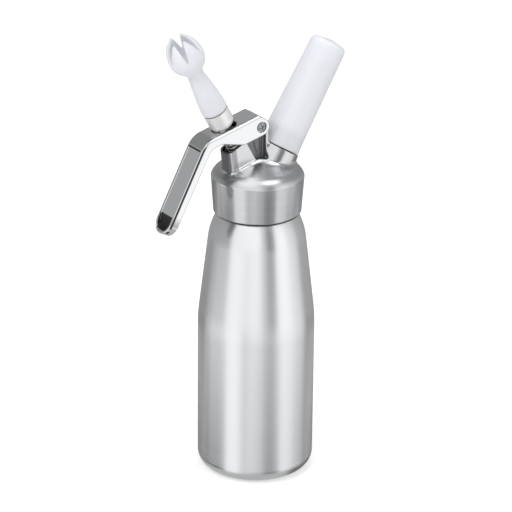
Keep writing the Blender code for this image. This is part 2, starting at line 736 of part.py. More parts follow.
def spring_points():
    """The wire's middle line: a short rise out of the gland, the coils, and a rise to the collar."""
    rise = 2.0 * SPRING_WIRE_RADIUS
    coil_bottom = SPRING_BOTTOM + rise + SPRING_END_BEND
    coil_top = SPRING_TOP - rise - SPRING_END_BEND
    count = SPRING_TURNS * SPRING_POINTS_A_TURN
    bend_angle = SPRING_END_BEND / SPRING_COIL_RADIUS
    line = [(-bend_angle, SPRING_BOTTOM)]
    for quarter in (90.0, 60.0, 30.0):
        turn = math.radians(quarter)
        line.append((-bend_angle * math.sin(turn), coil_bottom - SPRING_END_BEND * (1.0 - math.cos(turn))))
    for i in range(count + 1):
        share = i / count
        line.append((2.0 * math.pi * SPRING_TURNS * share, coil_bottom + (coil_top - coil_bottom) * share))
    last = line[-1][0]
    for quarter in (30.0, 60.0, 90.0):
        turn = math.radians(quarter)
        line.append((last + bend_angle * math.sin(turn), coil_top + SPRING_END_BEND * (1.0 - math.cos(turn))))
    line.append((last + bend_angle, SPRING_TOP))
    return [
        Vector((SPRING_COIL_RADIUS * math.cos(a), SPRING_COIL_RADIUS * math.sin(a), z)) for a, z in line
    ]


def least_gap(points, skip):
    """The smallest space between two stretches of wire that lie more than skip points apart."""
    nearest = min(
        (points[i] - points[k]).length
        for i in range(len(points))
        for k in range(i + skip, len(points))
    )
    return nearest - 2.0 * SPRING_WIRE_RADIUS


def make_valve_spring():
    points = spring_points()
    curve = bpy.data.curves.new("valve_spring", "CURVE")
    curve.dimensions = "3D"
    curve.bevel_depth = SPRING_WIRE_RADIUS
    curve.bevel_resolution = 1
    curve.use_fill_caps = True
    spline = curve.splines.new("POLY")
    spline.points.add(len(points) - 1)
    for point, place in zip(spline.points, points):
        point.co = (*place, 1.0)
    spring = bpy.data.objects.new("valve_spring", curve)
    PARTS.objects.link(spring)
    spring.parent = VALVE_AXIS
    curve.materials.append(STEEL)
    gap = least_gap(points, SPRING_POINTS_A_TURN - 2)
    print(f"valve_spring: least gap between its coils {1000.0 * gap:.2f} mm")
    return spring


def make_stem_collar():
    bottom = COLLAR_TOP - COLLAR_HEIGHT
    inner = STEM_RADIUS + SEAT_GAP
    collar = turned(
        "stem_collar",
        [
            (inner, COLLAR_TOP),
            (COLLAR_RADIUS - COLLAR_CHAMFER, COLLAR_TOP),
            (COLLAR_RADIUS, COLLAR_TOP - COLLAR_CHAMFER),
            (COLLAR_RADIUS, bottom),
            (inner, bottom),
        ],
        ring=True,
    )
    return place_part(collar, VALVE_AXIS, STEEL)


def make_nozzle_adapter():
    """The bright ring on the stem: socket below, male thread for the cream tip above."""
    top = ADAPTER_TOP + ADAPTER_THREAD_LENGTH
    floor = STEM_TOP + SEAT_GAP
    socket = STEM_RADIUS + SEAT_GAP
    adapter = turned(
        "nozzle_adapter",
        [
            (ADAPTER_PASSAGE_RADIUS, top),
            (ADAPTER_THREAD_RADIUS, top),
            (ADAPTER_THREAD_RADIUS, ADAPTER_TOP),
            (ADAPTER_RADIUS, ADAPTER_TOP),
            (ADAPTER_RADIUS, ADAPTER_BOTTOM + ADAPTER_CHAMFER_HEIGHT),
            (ADAPTER_CHAMFER_RADIUS, ADAPTER_BOTTOM),
            (socket, ADAPTER_BOTTOM),
            (socket, floor),
            (ADAPTER_PASSAGE_RADIUS, floor),
        ],
        32,
        ring=True,
    )
    return place_part(adapter, VALVE_AXIS, STEEL)


def bell_arcs():
    """Outer and inner lines of the tulip's bell, each from its mouth down."""
    rise = BELL_TOP - BELL_CENTRE
    fall = BELL_RADIUS - BELL_MOUTH_RADIUS
    lip_radius = (rise * rise + fall * fall) / (2.0 * fall)
    lip_turn = math.degrees(math.asin(rise / lip_radius))
    outer = arc(BELL_RADIUS - lip_radius, BELL_CENTRE, lip_radius, lip_turn, 0.0, 6)
    waist_turn = -math.degrees(math.acos((TIP_WAIST_RADIUS + BELL_WALL) / BELL_RADIUS))
    outer += arc(0.0, BELL_CENTRE, BELL_RADIUS, waist_turn / 6.0, waist_turn, 5)
    inner_radius = BELL_RADIUS - BELL_WALL
    passage_turn = -math.degrees(math.acos(TIP_PASSAGE_RADIUS / inner_radius))
    inner = arc(BELL_RADIUS - lip_radius, BELL_CENTRE, lip_radius - BELL_WALL, lip_turn, 0.0, 5)
    inner += arc(0.0, BELL_CENTRE, inner_radius, passage_turn / 5.0, passage_turn, 4)
    return outer, inner


def make_cleft(index):
    """One long wedge across the bell: it opens two clefts that face each other."""
    lip = BELL_TOP + BELL_WALL
    gap = BELL_MOUTH_RADIUS * 2.0 * math.pi / PRONG_COUNT - PRONG_TIP_WIDTH
    spread = gap / 2.0 - CLEFT_FLOOR_RADIUS
    overshoot = spread * (lip - BELL_TOP) / (BELL_TOP - CLEFT_FLOOR)
    top_half = CLEFT_FLOOR_RADIUS + spread + overshoot
    floor = arc(0.0, CLEFT_FLOOR + CLEFT_FLOOR_RADIUS, CLEFT_FLOOR_RADIUS, 180.0, 360.0, 4)
    wedge = prism(f"cleft_{index}", [(-top_half, lip), *floor, (top_half, lip)], BELL_RADIUS + OVERRUN)
    turn = PRONG_TURN + 360.0 * index / PRONG_COUNT
    wedge.rotation_euler = (0.0, 0.0, math.radians(turn))
    return place_cutter(wedge, TIP_FOOT)


def make_decorator_tip():
    """The white tulip tip: a tapering stem, a bell and six prongs between V-shaped clefts."""
    outer, inner = bell_arcs()
    body = [
        (TIP_WAIST_RADIUS, TIP_WAIST),
        (TIP_SHOULDER_RADIUS, TIP_SHOULDER),
        (TIP_FOOT_RADIUS, 0.0),
    ]
    socket_radius = ADAPTER_THREAD_RADIUS + SEAT_GAP
    bore = [
        (socket_radius, 0.0),
        (socket_radius, TIP_SOCKET_DEPTH),
        (TIP_PASSAGE_RADIUS, TIP_SOCKET_DEPTH),
    ]
    profile = [*outer, *body, *bore, *reversed(inner)]
    tip = turned("decorator_tip", profile, 32, ring=True)
    for index in range(PRONG_COUNT // 2):
        change(tip, make_cleft(index), "DIFFERENCE")
    return place_part(tip, TIP_FOOT, PLASTIC)


def tangent_point(start, radius):
    """Where a line from start touches the circle of that radius round the pivot, on its +X side."""
    reach = start.length
    turn = math.acos(radius / reach)
    heading = math.atan2(start.y, start.x) - turn
    return math.degrees(heading)


def lever_outline():
    """The lever's side from the plate's end round the ear, along the lower edge, and up the handle."""
    ear_start = tangent_point(PLATE_END, EAR_RADIUS)
    lower = math.degrees(math.atan2(PLATE_IN.y, PLATE_IN.x))
    ear = [Vector(p) for p in arc(0.0, 0.0, EAR_RADIUS, ear_start, lower, 7)]
    pivot_depth = -PLATE_END.dot(PLATE_IN)
    depth_line = PLATE_END + PLATE_IN * (pivot_depth + EAR_RADIUS)
    front = depth_line + PLATE_ALONG * (CHEEK_FRONT_REACH / -PLATE_ALONG.x)
    neck = PLATE_END + PLATE_IN * CHEEK_NECK_DEPTH
    neck += PLATE_ALONG * ((PLATE_REACH - CHEEK_NECK_SETBACK) / -PLATE_ALONG.x)
    tip = LEVER_CORNER + HANDLE_ALONG * HANDLE_LENGTH
    tip_in = tip + HANDLE_IN * HANDLE_TIP_DEPTH
    under_corner = LEVER_CORNER + HANDLE_IN * HANDLE_DEPTH
    inner_corner = corner_between(neck, PLATE_ALONG, under_corner, tip_in - under_corner)
    corners = [front, neck, inner_corner, tip_in, tip, LEVER_CORNER]
    inner_bend = LEVER_BEND_RADIUS - HANDLE_DEPTH
    radii = [inner_bend, inner_bend, inner_bend, 0.0, 0.0, LEVER_BEND_RADIUS]
    whole = [PLATE_END, *ear, *corners]
    return rounded([tuple(p) for p in whole], [0.0] * (1 + len(ear)) + radii, 5)


def corner_between(first, first_way, second, second_way):
    """Where two lines meet, each given by a point and a direction."""
    across = first_way.x * second_way.y - first_way.y * second_way.x
    offset = second - first
    along = (offset.x * second_way.y - offset.y * second_way.x) / across
    return first + first_way * along


def handle_plan(name, margin, start, end):
    """A cutter square to the handle's face: straight sides and a round end, inset by a margin."""
    half = LEVER_HALF_WIDTH - margin
    round_end = arc(0.0, end - half, half, 180.0, 0.0, 10)
    outline = [(-half, start), *round_end, (half, start)]
    plan = prism(name, outline, HANDLE_LENGTH)
    place_cutter(plan, LEVER_PIVOT)
    # Local Z follows the handle, local X runs across it and local Y is square to its face.
    along = Vector((HANDLE_ALONG.x, 0.0, HANDLE_ALONG.y))
    inward = Vector((HANDLE_IN.x, 0.0, HANDLE_IN.y))
    turn = Matrix((along.cross(inward), -inward, along)).transposed()
    corner = Vector((LEVER_CORNER.x, 0.0, LEVER_CORNER.y))
    if turn.determinant() < 0.0:
        turn = Matrix((-along.cross(inward), -inward, along)).transposed()
    plan.matrix_local = Matrix.Translation(corner) @ turn.to_4x4()
    return plan


def lever_channel():
    """What is hollow under the plate and the handle: it leaves the plate and the cheeks."""
    hollow_end = LEVER_CORNER + HANDLE_ALONG * (HANDLE_LENGTH - HOLLOW_END_SETBACK)
    corner = corner_between(
        PLATE_END + PLATE_IN * LEVER_PLATE, PLATE_ALONG, hollow_end + HANDLE_IN * LEVER_PLATE, HANDLE_ALONG
    )
    end_top = hollow_end + HANDLE_IN * LEVER_PLATE
    end_low = hollow_end + HANDLE_IN * (HANDLE_DEPTH + OVERRUN)
    reach = EAR_RADIUS + OVERRUN
    start_top = PLATE_END + PLATE_IN * LEVER_PLATE - PLATE_ALONG * (2.0 * reach)
    depth = CHEEK_DEPTH + OVERRUN
    start_low = start_top + PLATE_IN * depth
    front_low = corner + PLATE_IN * depth + HANDLE_IN * HANDLE_DEPTH
    outline = [start_top, corner, end_top, end_low, front_low, start_low]
    outline = rounded(
        [tuple(p) for p in outline], [0.0, LEVER_BEND_RADIUS - LEVER_PLATE, 0.0, 0.0, 0.0, 0.0], 5
    )
    return place_cutter(prism("lever_channel", outline, LEVER_HALF_WIDTH - LEVER_CHEEK), LEVER_PIVOT)


def handle_recess():
    """The shallow recess in the handle's face and the deeper scoop at its end."""
    bend_reach = LEVER_BEND_RADIUS * math.tan(math.radians(90.0 - HANDLE_LEAN - PLATE_SLOPE) / 2.0)
    start = LEVER_CORNER + HANDLE_ALONG * bend_reach
    end = LEVER_CORNER + HANDLE_ALONG * HANDLE_LENGTH
    floor = HANDLE_IN * HANDLE_RECESS_DEPTH
    above = HANDLE_IN * -OVERRUN
    scoop_middle = HANDLE_LENGTH - (SCOOP_START_SETBACK + SCOOP_END_SETBACK) / 2.0
    half_chord = (SCOOP_START_SETBACK - SCOOP_END_SETBACK) / 2.0
    drop = math.sqrt(SCOOP_RADIUS * SCOOP_RADIUS - half_chord * half_chord)
    centre = LEVER_CORNER + HANDLE_ALONG * scoop_middle + floor - HANDLE_IN * drop
    half_turn = math.asin(half_chord / SCOOP_RADIUS)
    scoop = []
    for i in range(9):
        turn = half_turn * (1.0 - i / 4.0)
        scoop.append(centre + HANDLE_IN * (SCOOP_RADIUS * math.cos(turn))
                     - HANDLE_ALONG * (SCOOP_RADIUS * math.sin(turn)))
    outline = [start + above, start + floor, *scoop, end + floor, end + above]
    recess = prism("handle_recess", [tuple(p) for p in outline], LEVER_HALF_WIDTH)
    place_cutter(recess, LEVER_PIVOT)
    plan = handle_plan("recess_plan", HANDLE_RIM, -HANDLE_LENGTH, HANDLE_LENGTH - HANDLE_RIM)
    change(recess, plan, "INTERSECT")
    return recess


def lever_window():
    """The slot in the plate that the valve stem comes through, square to the plate."""
    crossing = corner_between(AXES_START, VALVE_UP, PLATE_END, PLATE_ALONG)
    straight = WINDOW_HALF_LENGTH - WINDOW_HALF_WIDTH
    ends = arc(straight, 0.0, WINDOW_HALF_WIDTH, -90.0, 90.0, 8)
    ends += arc(-straight, 0.0, WINDOW_HALF_WIDTH, 90.0, 270.0, 8)
    slot = prism("lever_window", ends, LEVER_PLATE + OVERRUN)
    place_cutter(slot, LEVER_PIVOT)
    # Laid flat and tilted, so that its long way follows the plate.
    slot.rotation_euler = (math.radians(-90.0), -math.radians(PLATE_SLOPE), 0.0)
    slot.location = (crossing.x, 0.0, crossing.y)
    return slot


def cam_place():
    """The cams' middle, on the valve's axis just over the stem's collar."""
    return AXES_START + VALVE_UP * (COLLAR_TOP + SEAT_GAP + CAM_RADIUS)


def make_lever():
    lever = prism("lever", lever_outline(), LEVER_HALF_WIDTH + OVERRUN)
    place_part(lever, LEVER_PIVOT, CHROME)
    change(lever, handle_plan("lever_plan", 0.0, -2.0 * HANDLE_LENGTH, HANDLE_LENGTH), "INTERSECT")
    soften(lever, LEVER_EDGE_ROUND, 2, 50.0)
    change(lever, lever_channel(), "DIFFERENCE")
    middle = cam_place()
    root = LEVER_HALF_WIDTH - LEVER_CHEEK / 2.0
    for side, name in ((-1.0, "near_cam"), (1.0, "far_cam")):
        cam = cross_hole(name, CAM_RADIUS, (root - CAM_REACH) / 2.0, 20)
        cam.location = (middle.x, side * (root + CAM_REACH) / 2.0, middle.y)
        change(lever, place_cutter(cam, LEVER_PIVOT), "UNION")
    change(lever, lever_window(), "DIFFERENCE")
    change(lever, handle_recess(), "DIFFERENCE")
    hole = cross_hole("ear_holes", SLEEVE_RADIUS + SEAT_GAP, LEVER_HALF_WIDTH + OVERRUN)
    change(lever, place_cutter(hole, LEVER_PIVOT), "DIFFERENCE")
    for side, name in ((-1.0, "near_head_seat"), (1.0, "far_head_seat")):
        depth = (SCREW_HEAD_HEIGHT + SEAT_GAP + OVERRUN) / 2.0
        seat = cross_hole(name, SCREW_HEAD_RADIUS + SEAT_GAP, depth)
        seat.location = (0.0, side * (LEVER_HALF_WIDTH - SCREW_HEAD_HEIGHT - SEAT_GAP + depth), 0.0)
        change(lever, place_cutter(seat, LEVER_PIVOT), "DIFFERENCE")
    return lever


def slot_cutter(name, turn, face):
    """One bar of the cross recess in a screw's head."""
    bar = prism(
        name,
        [
            (-SCREW_SLOT_HALF_LENGTH, face - SCREW_SLOT_DEPTH),
            (SCREW_SLOT_HALF_LENGTH, face - SCREW_SLOT_DEPTH),
            (SCREW_SLOT_HALF_LENGTH, face + SCREW_SLOT_DEPTH),
            (-SCREW_SLOT_HALF_LENGTH, face + SCREW_SLOT_DEPTH),
        ],
        SCREW_SLOT_HALF_WIDTH,
    )
    bar.rotation_euler = (0.0, 0.0, math.radians(turn))
    return bar


def make_hinge_pin():
    """Two pieces: a sleeve with a head from the far side and a cross-recessed screw from the near."""
    inner = SCREW_SHANK_RADIUS + SEAT_GAP
    sleeve_end = -(LEVER_HALF_WIDTH - SCREW_HEAD_HEIGHT - SLEEVE_SHORTFALL)
    far = new_frame("hinge_far_side", PIVOT)
    far.rotation_euler = (math.radians(-90.0), 0.0, 0.0)
    sleeve = turned(
        "pivot_sleeve",
        [
            (0.0, LEVER_HALF_WIDTH),
            (SCREW_HEAD_RADIUS, LEVER_HALF_WIDTH),
            (SCREW_HEAD_RADIUS, SCREW_HEAD_BOTTOM),
            (SLEEVE_RADIUS, SCREW_HEAD_BOTTOM),
            (SLEEVE_RADIUS, sleeve_end),
            (inner, sleeve_end),
            (inner, SCREW_LENGTH - LEVER_HALF_WIDTH + OVERRUN),
            (0.0, SCREW_LENGTH - LEVER_HALF_WIDTH + OVERRUN),
        ],
    )
    place_part(sleeve, far, STEEL)
    near = new_frame("hinge_near_side", PIVOT)
    near.rotation_euler = (math.radians(90.0), 0.0, 0.0)
    screw = turned(
        "pivot_screw",
        [
            (0.0, LEVER_HALF_WIDTH),
            (SCREW_HEAD_RADIUS, LEVER_HALF_WIDTH),
            (SCREW_HEAD_RADIUS, SCREW_HEAD_BOTTOM),
            (SCREW_SHANK_RADIUS, SCREW_HEAD_BOTTOM),
            (SCREW_SHANK_RADIUS, LEVER_HALF_WIDTH - SCREW_LENGTH),
            (0.0, LEVER_HALF_WIDTH - SCREW_LENGTH),
        ],
    )
    for turn, name in ((20.0, "first_slot"), (110.0, "second_slot")):
        bar = slot_cutter(name, turn, LEVER_HALF_WIDTH)
        change(screw, place_cutter(bar, near), "DIFFERENCE")
    place_part(screw, near, STEEL)


def make_piercing_pin():
    """The hollow pin in the boss, with a groove for the ring that holds the gas back."""
    bottom = PIN_SOCKET_FLOOR + SEAT_GAP
    groove_top = CHECK_GROOVE_LEVEL + CHECK_GROOVE_HALF_WIDTH
    groove_bottom = CHECK_GROOVE_LEVEL - CHECK_GROOVE_HALF_WIDTH
    pin = turned(
        "piercing_pin",
        [
            (PIN_BORE_RADIUS, PIN_POINT),
            (PIN_SHAFT_RADIUS, PIN_POINT_START),
            (PIN_SHAFT_RADIUS, PIN_FLANGE_TOP),
            (PIN_FLANGE_RADIUS, PIN_FLANGE_TOP),
            (PIN_FLANGE_RADIUS, groove_top),
            (CHECK_GROOVE_RADIUS, groove_top),
            (CHECK_GROOVE_RADIUS, groove_bottom),
            (PIN_FLANGE_RADIUS, groove_bottom),
            (PIN_FLANGE_RADIUS, bottom),
            (PIN_BORE_RADIUS, bottom),
        ],
        20,
        ring=True,
    )
    place_part(pin, CHARGER_AXIS, STEEL)
    half = CHECK_GROOVE_HALF_WIDTH - SEAT_GAP
    ring = washer(
        "check_valve_ring",
        CHECK_RING_INNER_RADIUS,
        CHECK_RING_OUTER_RADIUS,
        CHECK_GROOVE_LEVEL - half,
        CHECK_GROOVE_LEVEL + half,
        20,
    )
    place_part(ring, CHARGER_AXIS, RUBBER)
    gasket_bottom = CHARGER_SOCKET_FLOOR + SEAT_GAP
    gasket = washer(
        "charger_gasket",
        PIN_SHAFT_RADIUS + SEAT_GAP,
        CHARGER_SOCKET_RADIUS - SEAT_GAP,
        gasket_bottom,
        gasket_bottom + CHARGER_GASKET_THICKNESS,
        20,
    )
    place_part(gasket, CHARGER_AXIS, RUBBER)


def bulb_line(inset):
    """The bulb's line from its round end down to its mouth, moved in by an inset."""
    end_centre = BULB_TOP - BULB_RADIUS
    neck_top = BULB_FOOT + BULB_NECK_LENGTH
    shoulder_top = neck_top + BULB_SHOULDER_LENGTH
    line = arc(0.0, end_centre, BULB_RADIUS - inset, 90.0, 0.0, 6)
    line.append((BULB_RADIUS - inset, shoulder_top))
    line.append((BULB_NECK_RADIUS - inset, neck_top + inset / 2.0))
    return line


def make_gas_charger():
    """The steel bulb, pierced: hollow, with the pin's hole in its mouth."""
    outer = bulb_line(0.0) + [(BULB_NECK_RADIUS, BULB_FOOT), (BULB_MOUTH_RADIUS, BULB_FOOT)]
    floor = BULB_FOOT + BULB_WALL
    inner = [(BULB_MOUTH_RADIUS, floor), (BULB_NECK_RADIUS - BULB_WALL, floor)]
    inner += list(reversed(bulb_line(BULB_WALL)))
    bulb = turned("gas_charger", outer + inner, SMALL_STEPS)
    return place_part(bulb, CHARGER_AXIS, STEEL)


def make_holder_insert():
    bottom = HOLDER_FOOT + SEAT_GAP
    insert = washer(
        "holder_insert", INSERT_INNER_RADIUS, INSERT_OUTER_RADIUS, bottom, bottom + INSERT_HEIGHT, 32
    )
    return place_part(insert, CHARGER_AXIS, STEEL)


def holder_radius(level):
    share = (level - HOLDER_FOOT) / (HOLDER_TOP - HOLDER_TOP_ROUND - HOLDER_FOOT)
    return HOLDER_FOOT_RADIUS + (HOLDER_TOP_RADIUS - HOLDER_FOOT_RADIUS) * share


def make_charger_holder():
    """The white cap over the charger: tapered and fluted, with a rounded top."""
    corner = arc(
        HOLDER_TOP_RADIUS - HOLDER_TOP_ROUND,
        HOLDER_TOP - HOLDER_TOP_ROUND - HOLDER_CROWN,
        HOLDER_TOP_ROUND,
        90.0,
        0.0,
        5,
    )
    cavity_top = BULB_TOP + SEAT_GAP
    cavity_radius = BULB_RADIUS + RUNNING_GAP
    step = HOLDER_FOOT + SEAT_GAP + INSERT_HEIGHT + SEAT_GAP
    seat = INSERT_OUTER_RADIUS + SEAT_GAP
    dome = arc(0.0, cavity_top - cavity_radius, cavity_radius, 0.0, 90.0, 5)
    profile = [(0.0, HOLDER_TOP), *corner, (HOLDER_FOOT_RADIUS, HOLDER_FOOT)]
    profile += [(seat, HOLDER_FOOT), (seat, step), (cavity_radius, step), *dome]
    holder = turned("charger_holder", profile, 2 * FLUTE_COUNT)
    start = HOLDER_FOOT + FLUTE_MARGIN
    end = HOLDER_TOP - HOLDER_TOP_ROUND - HOLDER_CROWN
    flute_half = math.pi * HOLDER_TOP_RADIUS / FLUTE_COUNT * FLUTE_WIDTH_SHARE
    for index in range(FLUTE_COUNT):
        flute = flute_cutter(f"flute_{index:02d}", start, end, flute_half)
        flute.rotation_euler = (0.0, 0.0, math.radians(360.0 * (index + 0.25) / FLUTE_COUNT))
        change(holder, place_cutter(flute, CHARGER_AXIS), "DIFFERENCE")
    return place_part(holder, CHARGER_AXIS, PLASTIC)


def flute_cutter(name, start, end, half):
    """A V-shaped strip that follows the taper and runs out at both ends."""
    low = holder_radius(start)
    high = holder_radius(end)
    strip = bpy.data.meshes.new(name)
    shape = bmesh.new()
    sections = []
    out = -FLUTE_DEPTH * FLUTE_RUN_OUT_SHARE
    ends = ((start, low, out), (start + FLUTE_MARGIN, holder_radius(start + FLUTE_MARGIN), FLUTE_DEPTH))
    ends += ((end - FLUTE_MARGIN, holder_radius(end - FLUTE_MARGIN), FLUTE_DEPTH), (end, high, out))
    for level, radius, depth in ends:
        corners = [(radius + FLUTE_DEPTH, -half), (radius - depth, 0.0), (radius + FLUTE_DEPTH, half)]
        sections.append([shape.verts.new((x, y, level)) for x, y in corners])
    for lower, upper in zip(sections, sections[1:]):
        for i in range(3):
            k = (i + 1) % 3
            shape.faces.new((lower[i], lower[k], upper[k], upper[i]))
    shape.faces.new(sections[0])
    shape.faces.new(list(reversed(sections[-1])))
    bmesh.ops.recalc_face_normals(shape, faces=shape.faces)
    shape.to_mesh(strip)
    shape.free()
    return bpy.data.objects.new(name, strip)


clear_scene()
PARTS = new_collection("Whipped cream dispenser")
CUTTERS = new_collection("Cutters")
CUTTERS.hide_render = True
ALUMINIUM = new_material("brushed aluminium", BRUSHED_ALUMINIUM, 0.32, 1.0)
CHROME = new_material("bright chrome", BRIGHT_CHROME, 0.08, 1.0)
STEEL = new_material("stainless steel", STAINLESS_STEEL, 0.25, 1.0)
BRASS = new_material("brass", BRASS_YELLOW, 0.30, 1.0)
PLASTIC = new_material("white plastic", WHITE_PLASTIC, 0.35, 0.0)
RUBBER = new_material("black rubber", BLACK_RUBBER, 0.70, 0.0)
SILICONE = new_material("pale silicone", PALE_SILICONE, 0.60, 0.0)
VALVE_AXIS = new_frame("valve_axis", (0.0, 0.0, AXES_HEIGHT), -VALVE_TILT)
CHARGER_AXIS = new_frame("charger_axis", (0.0, 0.0, AXES_HEIGHT), CHARGER_TILT)
LEVER_PIVOT = new_frame("lever_pivot", PIVOT)
TIP_FOOT = new_frame("tip_foot", (0.0, 0.0, ADAPTER_TOP + SEAT_GAP))
TIP_FOOT.parent = VALVE_AXIS
make_bottle()
make_head_gasket()
make_head()
make_valve_stem()
make_valve_seals()
make_valve_gland()
make_valve_spring()
make_stem_collar()
make_nozzle_adapter()
make_decorator_tip()
make_lever()
make_hinge_pin()
make_piercing_pin()
make_gas_charger()
make_holder_insert()
make_charger_holder()
bpy.context.view_layer.update()
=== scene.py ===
"""The looks of a whipped cream dispenser: brushed aluminium bottle and head, chromed lever, white
tulip tip and charger holder, in a plain pale studio. Lengths are metres."""

import math

import bmesh
import bpy
import numpy as np
from mathutils import Matrix, Vector


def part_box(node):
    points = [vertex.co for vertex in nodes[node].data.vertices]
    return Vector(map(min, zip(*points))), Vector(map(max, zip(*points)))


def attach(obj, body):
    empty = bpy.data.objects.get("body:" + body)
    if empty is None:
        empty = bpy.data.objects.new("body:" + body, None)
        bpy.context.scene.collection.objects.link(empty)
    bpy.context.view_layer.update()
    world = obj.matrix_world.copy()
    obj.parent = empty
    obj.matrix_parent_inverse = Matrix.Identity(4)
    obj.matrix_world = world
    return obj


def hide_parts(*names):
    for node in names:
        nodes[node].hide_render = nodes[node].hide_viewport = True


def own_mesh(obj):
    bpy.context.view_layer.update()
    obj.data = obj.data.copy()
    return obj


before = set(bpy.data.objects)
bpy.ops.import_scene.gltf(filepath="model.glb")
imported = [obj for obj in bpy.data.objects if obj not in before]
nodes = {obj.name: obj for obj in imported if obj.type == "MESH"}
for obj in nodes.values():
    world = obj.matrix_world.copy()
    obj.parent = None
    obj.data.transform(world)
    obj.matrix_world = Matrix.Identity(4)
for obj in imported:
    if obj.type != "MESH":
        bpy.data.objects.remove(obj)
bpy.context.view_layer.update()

# Places that the pieces share, as the solids have them
AXES_MEET = Vector((0.0, 0.0, 0.208))
VALVE_TILT = math.radians(28.9)
CHARGER_TILT = math.radians(31.0)
VALVE = Matrix.Translation(AXES_MEET) @ Matrix.Rotation(-VALVE_TILT, 4, "Y")
CHARGER = Matrix.Translation(AXES_MEET) @ Matrix.Rotation(CHARGER_TILT, 4, "Y")
PIVOT = Vector((-0.0029, 0.0, 0.255694))
PIVOT_BORE = 0.0025
GAP = 0.0003
HEAD_LOW = 0.1918

# Heights along the valve's axis
WELL_FLOOR, COLLAR_FOOT, COLLAR_TOP, ADAPTER_TOP = 0.0215, 0.0480, 0.0510, 0.0722

# Heights along the charger's axis
BOSS_SEAT, GASKET_SEAT = 0.0326, 0.0340
HOLDER_FOOT = BOSS_SEAT + GAP

# Roundings of edges, and soft steps in the finishes, from keen to soft
KEEN, CRISP, PLAIN, EASY, SOFT = 0.0002, 0.0003, 0.0004, 0.0005, 0.0008


# Forms: each is a distance that is negative inside, worked out for whole arrays of points


def meet(a, b, r=0.0):
    """What two forms share, its new edge rounded by r."""
    if np.isscalar(r) and r == 0.0:
        return np.maximum(a, b)
    return np.minimum(-r, np.maximum(a, b)) + np.hypot(np.maximum(r + a, 0), np.maximum(r + b, 0))


def join(a, b, r=0.0):
    """Two forms together, with a fillet of r where they meet."""
    return -meet(-a, -b, r)


def cut(a, b, r=0.0):
    """The first form without the second, its new edge rounded by r."""
    return meet(a, -b, r)


def line_distance(line, u, v):
    """How far points lie from a line of points in its own plane."""
    nearest = np.full(np.broadcast(u, v).shape, np.inf)
    for (au, av), (bu, bv) in zip(line, line[1:]):
        eu, ev = bu - au, bv - av
        length = eu * eu + ev * ev
        if length == 0.0:
            continue
        share = np.clip(((u - au) * eu + (v - av) * ev) / length, 0, 1)
        nearest = np.minimum(nearest, (u - au - share * eu) ** 2 + (v - av - share * ev) ** 2)
    return np.sqrt(nearest)


def outline_distance(outline, u, v):
    """How far points lie outside a closed outline in its own plane."""
    closed = outline + outline[:1]
    inside = np.zeros(np.broadcast(u, v).shape, bool)
    for (au, av), (bu, bv) in zip(closed, closed[1:]):
        if av != bv:
            crosses = (av > v) != (bv > v)
            inside ^= crosses & (u < au + (v - av) * (bu - au) / (bv - av))
    return np.where(inside, -1.0, 1.0) * line_distance(closed, u, v)


def eased_step(value, start, end):
    """From 0 at start to 1 at end, smooth at both."""
    share = np.clip((value - start) / (end - start), 0, 1)
    return share * share * (3 - 2 * share)


def tilted(x, z, tilt, foot=AXES_MEET):
    """Across and along an axis that leans in the plane y = 0, by tilt towards +X."""
    x, z = x - foot[0], z - foot[2]
    return x * math.cos(tilt) - z * math.sin(tilt), x * math.sin(tilt) + z * math.cos(tilt)


def growth_of(form, points):
    """A form's value and its steepest growth at some points."""
    step = 1e-5
    growth = np.empty_like(points)
    for axis, shift in enumerate(step * np.eye(3)):
        growth[:, axis] = (form(*(points + shift).T) - form(*(points - shift).T)) / (2 * step)
    return form(*points.T), growth


BLOCK = 4  # grid cells along the side of a block


def sampled(form, low, cell, blocks):
    """The form's values on a grid, worked out only in the blocks that its skin can pass."""
    middles = [low[i] + cell * BLOCK * (np.arange(blocks[i]) + 0.5) for i in range(3)]
    x, y, z = np.meshgrid(*middles, indexing="ij")
    rough = form(x.ravel(), y.ravel(), z.ravel()).reshape(x.shape)
    near = np.abs(rough) < BLOCK * cell
    spread = np.ones((BLOCK, BLOCK, BLOCK), bool)
    value = np.kron(np.sign(rough), spread)
    wanted = np.argwhere(np.kron(near, spread) > 0)
    value[tuple(wanted.T)] = form(*(low + (wanted + 0.5) * cell).T)
    just_outside = 1e-9
    return np.where(value == 0.0, just_outside, value)


